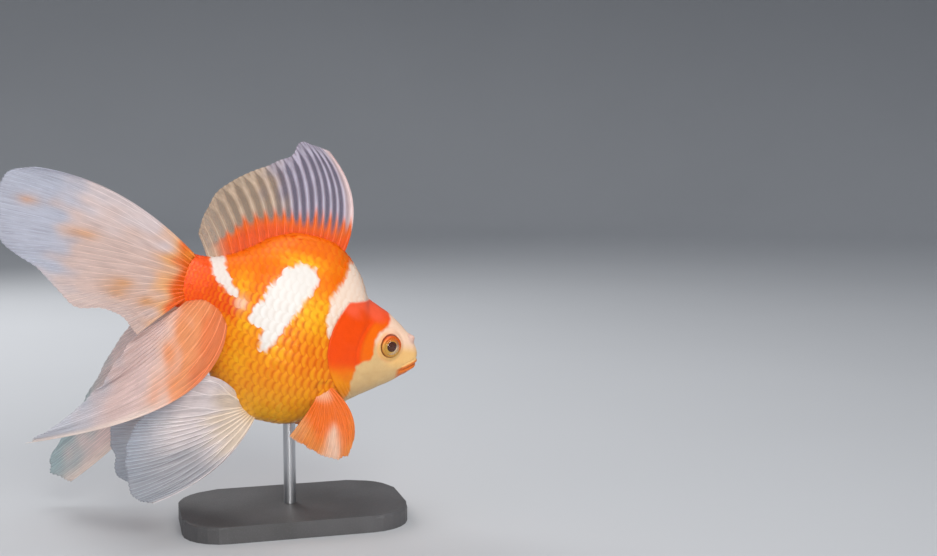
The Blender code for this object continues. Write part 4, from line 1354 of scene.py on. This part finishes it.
def paint_dorsal(fin, across, out, x, z):
    wander = ripple(across * 40, out * 12, 5.0, 33)
    band = 0.11 + 0.11 * smooth(0.10, 0.0, across) + 0.18 * smooth(0.30, 0.75, across)
    rear = smooth(0.40, 0.62, across + 0.04 * wander)
    ray = smooth(0.31, 0.15, fin.off_ray(across, out)) * (1.0 - 0.6 * smooth(0.70, 0.92, across))
    spine = smooth(0.10, 0.02, across)
    pale = blend(tint(198, 194, 214), tint(214, 194, 170), rear) * (0.9 + 0.12 * wander[..., None])
    flame = smooth(0.10, -0.05, out - band - 0.09 * ray - 0.03 * wander)
    colour = layered(
        blend(tint(98, 100, 128), tint(160, 140, 114), rear), (pale, ray),
        (FILM_BEIGE, smooth(0.72, 0.95, across) * 0.8), (tint(250, 226, 224), spine * 0.9),
        (tint(240, 106, 14), flame * smooth(0.97, 0.80, across)),
        (tint(238, 88, 6), smooth(0.02, -0.1, out - band) * smooth(0.92, 0.75, across)))
    cover = 0.58 + 0.26 * ray - 0.12 * smooth(0.45, 0.8, across) + 0.35 * smooth(0.08, -0.06, out - band)
    return colour, np.clip(cover + 0.3 * spine, 0, 1)


def paint_anal(fin, across, out, x, z):
    colour = layered(FILM_PEACH, (FILM_PINK, smooth(0.1, 0.4, out)), (FILM_LILAC, smooth(0.5, 1.0, out)))
    return colour, 0.95 - 0.35 * smooth(0.2, 1.0, out)


def paint_pelvic(fin, across, out, x, z):
    wander = ripple(across * 30, out * 14, 6.0, 35)
    low = smooth(0.62, 0.25, across + 0.05 * wander) * smooth(0.28, 0.6, out)
    colour = layered(
        tint(236, 218, 198), (tint(238, 228, 228), smooth(0.2, 0.5, out + 0.05 * wander)),
        (tint(182, 192, 206), smooth(0.6, 1.0, out)),
        (tint(160, 165, 174), low * (0.8 if fin.side > 0 else 0.2)),
        (tint(220, 182, 120), smooth(0.14, 0.0, out) * 0.7),
        (FILM_WHITE, smooth(0.06, 0.0, across) * 0.8))
    return colour, 0.97 - 0.28 * smooth(0.25, 1.0, out)


def paint_pectoral(fin, across, out, x, z):
    wander = ripple(across * 24, out * 14, 6.0, 36)
    streak = hump(across - 0.42 - 0.03 * wander, 0.085) * smooth(0.38, 0.6, out)
    colour = layered(
        tint(240, 112, 16), (tint(236, 140, 52), smooth(0.5, 1.0, out + 0.08 * wander)),
        (tint(240, 204, 178), streak * 0.9),
        (tint(232, 164, 104), smooth(0.72, 0.95, across) * smooth(0.4, 0.75, out) * 0.8),
        (tint(246, 204, 176), smooth(0.95, 1.0, out) * 0.6),
        (tint(242, 178, 140), smooth(0.22, 0.04, out) * smooth(0.1, 0.4, across)))
    return colour, 0.97 - 0.14 * smooth(0.5, 1.0, out)


# A kind of fin: wave (height, count, phase), rays, forks (from, to), pleat, ragged edge,
# thickness at root and edge, and its colours; then how stout its rays are, and if it is orange.
DORSAL = ((0.5, 2.0, 0.0), 19, ((0.78, 1.0),), 0.22, 0.03, (0.8, 0.26), paint_dorsal), 0.18, True
TAIL_WAVE = (1.5, 2.2, 0.1)
PAIRED = {
    "tail_upper": ((TAIL_WAVE, 12, ((0.18, 0.5), (0.5, 0.85)), 0.22, 0.025, (0.8, 0.24),
                    paint_tail_upper), 0.11, False),
    "tail_lower": ((TAIL_WAVE, 9, ((0.2, 0.5), (0.5, 0.85)), 0.26, 0.018, (0.8, 0.24),
                    paint_tail_lower), 0.08, False),
    "anal": (((0.5, 1.0, 0.0), 7, ((0.35, 0.7),), 0.14, 0.05, (0.7, 0.24), paint_anal), 0.10, False),
    "pelvic": (((1.0, 2.5, 0.3), 9, ((0.22, 0.5), (0.5, 0.85)), 0.40, 0.025, (0.8, 0.26),
                paint_pelvic), 0.15, False),
    "pectoral": (((0.6, 1.5, 0.2), 11, ((0.4, 0.75),), 0.16, 0.05, (0.7, 0.26),
                  paint_pectoral), 0.11, True),
}
RIGHT_ROWS = (TAIL_UPPER_RAYS, TAIL_LOWER_RIGHT_RAYS, ANAL_RAYS, PELVIC_RAYS, PECTORAL_RAYS)
LEFT_ROWS = (swung(TAIL_UPPER_RAYS, -6.0, 0.92), TAIL_LOWER_LEFT_RAYS, ANAL_RAYS,
             longer(PELVIC_LEFT_RAYS, 1.1), PECTORAL_RAYS)


def build_fins():
    """Every fin, right then left: a web, and rays upon it."""
    webs = (film_look("fin_web", 0.26, tint(216, 206, 206)),
            film_look("orange_web", 0.10, tint(240, 134, 56)))
    rays = ray_look("fin_ray", 0.07), ray_look("orange_ray", 0.04)
    recipe = ray_tree()

    def build(name, node, rows, seed, left, form, stout, warm):
        fin = Fin(rows, seed, left, *form)
        slot = "orange_fin" if warm else "fin"
        build_web(name + "_web", fin, webs[warm], node, slot)
        build_rays(name + "_rays", fin, rays[warm], recipe, slot, stout)

    build("dorsal", "dorsal_fin", DORSAL_RAYS, 1.0, False, *DORSAL)
    for word, left, seed, sets in (("_right", False, 5.0, RIGHT_ROWS), ("_left", True, 2.0, LEFT_ROWS)):
        for number, (name, rows) in enumerate(zip(PAIRED, sets)):
            node = name + word if name.startswith("tail") else name + "_fin" + word
            build(name + word, node, rows, seed + number, left, *PAIRED[name])


# ---- stand, studio and camera ----
def finish_stand():
    for node, look in (("stand_base", base_look()), ("stand_rod", rod_look())):
        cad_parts[node].material_slots[0].material = look


FLOOR_RADIUS, SWEEP_RADIUS, WALL_HEIGHT = 1.8, 0.7, 2.0      # metres, as all of the studio
SWEEP_STEPS = 12
LIT_POINT = Vector((-0.02, 0.0, 0.08))
CAMERA_SWING = math.radians(-15.8815)
CAMERA_DROP = math.radians(5.8750)
CAMERA_PLACE = Vector((-76.32, -543.06, 77.07)) * MM        # from the middle of the fish's frame


def build_studio():
    """A round floor that sweeps up into a wall far behind every view."""
    profile = [(radius, 0.0) for radius in (0.0, 0.5, 1.2, FLOOR_RADIUS)]
    for step in range(1, SWEEP_STEPS + 1):
        lean = math.pi / 2 * step / SWEEP_STEPS
        profile.append((FLOOR_RADIUS + SWEEP_RADIUS * math.sin(lean), SWEEP_RADIUS * (1 - math.cos(lean))))
    profile.append((FLOOR_RADIUS + SWEEP_RADIUS, WALL_HEIGHT))
    spokes = 96
    angle = np.arange(spokes) * 2 * math.pi / spokes
    points = [(0.0, 0.0, 0.0)]
    for radius, height in profile[1:]:
        points += [(radius * math.cos(a), radius * math.sin(a), height) for a in angle]
    faces = [(0, 1 + i, 1 + (i + 1) % spokes) for i in range(spokes)]
    faces += [face[::-1] for face in grid_faces(len(profile) - 1, spokes, True, 1)]
    mesh = bpy.data.meshes.new("sweep")
    mesh.from_pydata(points, [], faces)
    mesh.shade_smooth()
    mesh.materials.append(studio_look())
    add_piece("sweep", mesh)


def add_light(name, place, size, power, spread=180, colour=(1.0, 1.0, 1.0)):
    lamp = bpy.data.lights.new(name, "AREA")
    lamp.shape = "DISK"
    lamp.size = size
    lamp.spread = math.radians(spread)
    lamp.energy = power
    lamp.color = colour
    light = add_piece(name, lamp)
    light.location = place
    light.rotation_euler = (LIT_POINT - Vector(place)).to_track_quat("-Z", "Y").to_euler()


def build_lights():
    add_light("key", (0.12, -0.85, 0.65), 0.6, 1.50, 100, (1.0, 0.99, 0.97))
    add_light("low_fill", (-0.15, -1.2, 0.24), 0.6, 0.80, 60, (1.0, 0.98, 0.95))
    add_light("top", (0.05, 0.1, 1.15), 0.7, 3.0)
    add_light("rim", (-0.35, 0.8, 0.6), 0.6, 4.0)
    world = bpy.data.worlds.new("studio")
    world.use_nodes = True
    sky = world.node_tree.nodes["Background"].inputs
    sky["Color"].default_value = (0.82, 0.86, 0.92, 1.0)
    sky["Strength"].default_value = 0.5
    bpy.context.scene.world = world
    bpy.context.scene.view_settings.view_transform = "Standard"


def build_camera():
    """The camera looks along the fish's right side, from a little behind and above."""
    right = Vector((math.cos(CAMERA_SWING), math.sin(CAMERA_SWING), 0.0))
    level = math.cos(CAMERA_DROP)
    back = Vector((right.y * level, -right.x * level, math.sin(CAMERA_DROP)))
    turn = Matrix((right, back.cross(right), back)).transposed().to_4x4()
    lens = bpy.data.cameras.new("camera")
    lens.lens = 50.0
    lens.sensor_width = 36.0
    lens.clip_start = 0.01
    camera = add_piece("camera", lens)
    camera.matrix_world = Matrix.Translation(Vector(FISH_ORIGIN.tolist()) * MM + CAMERA_PLACE) @ turn
    bpy.context.scene.camera = camera


build_skin(skin_look())
coat = scale_shape(), scale_tree(), scale_look()
build_scales("right", -1.0, 5, 3, 0.25, *coat)
build_scales("left", 1.0, 6, 4, 0.75, *coat)
eye = iris_look(), cornea_look()
build_eye("right", -1.0, *eye)
build_eye("left", 1.0, *eye)
build_fins()
finish_stand()
build_studio()
build_lights()
build_camera()
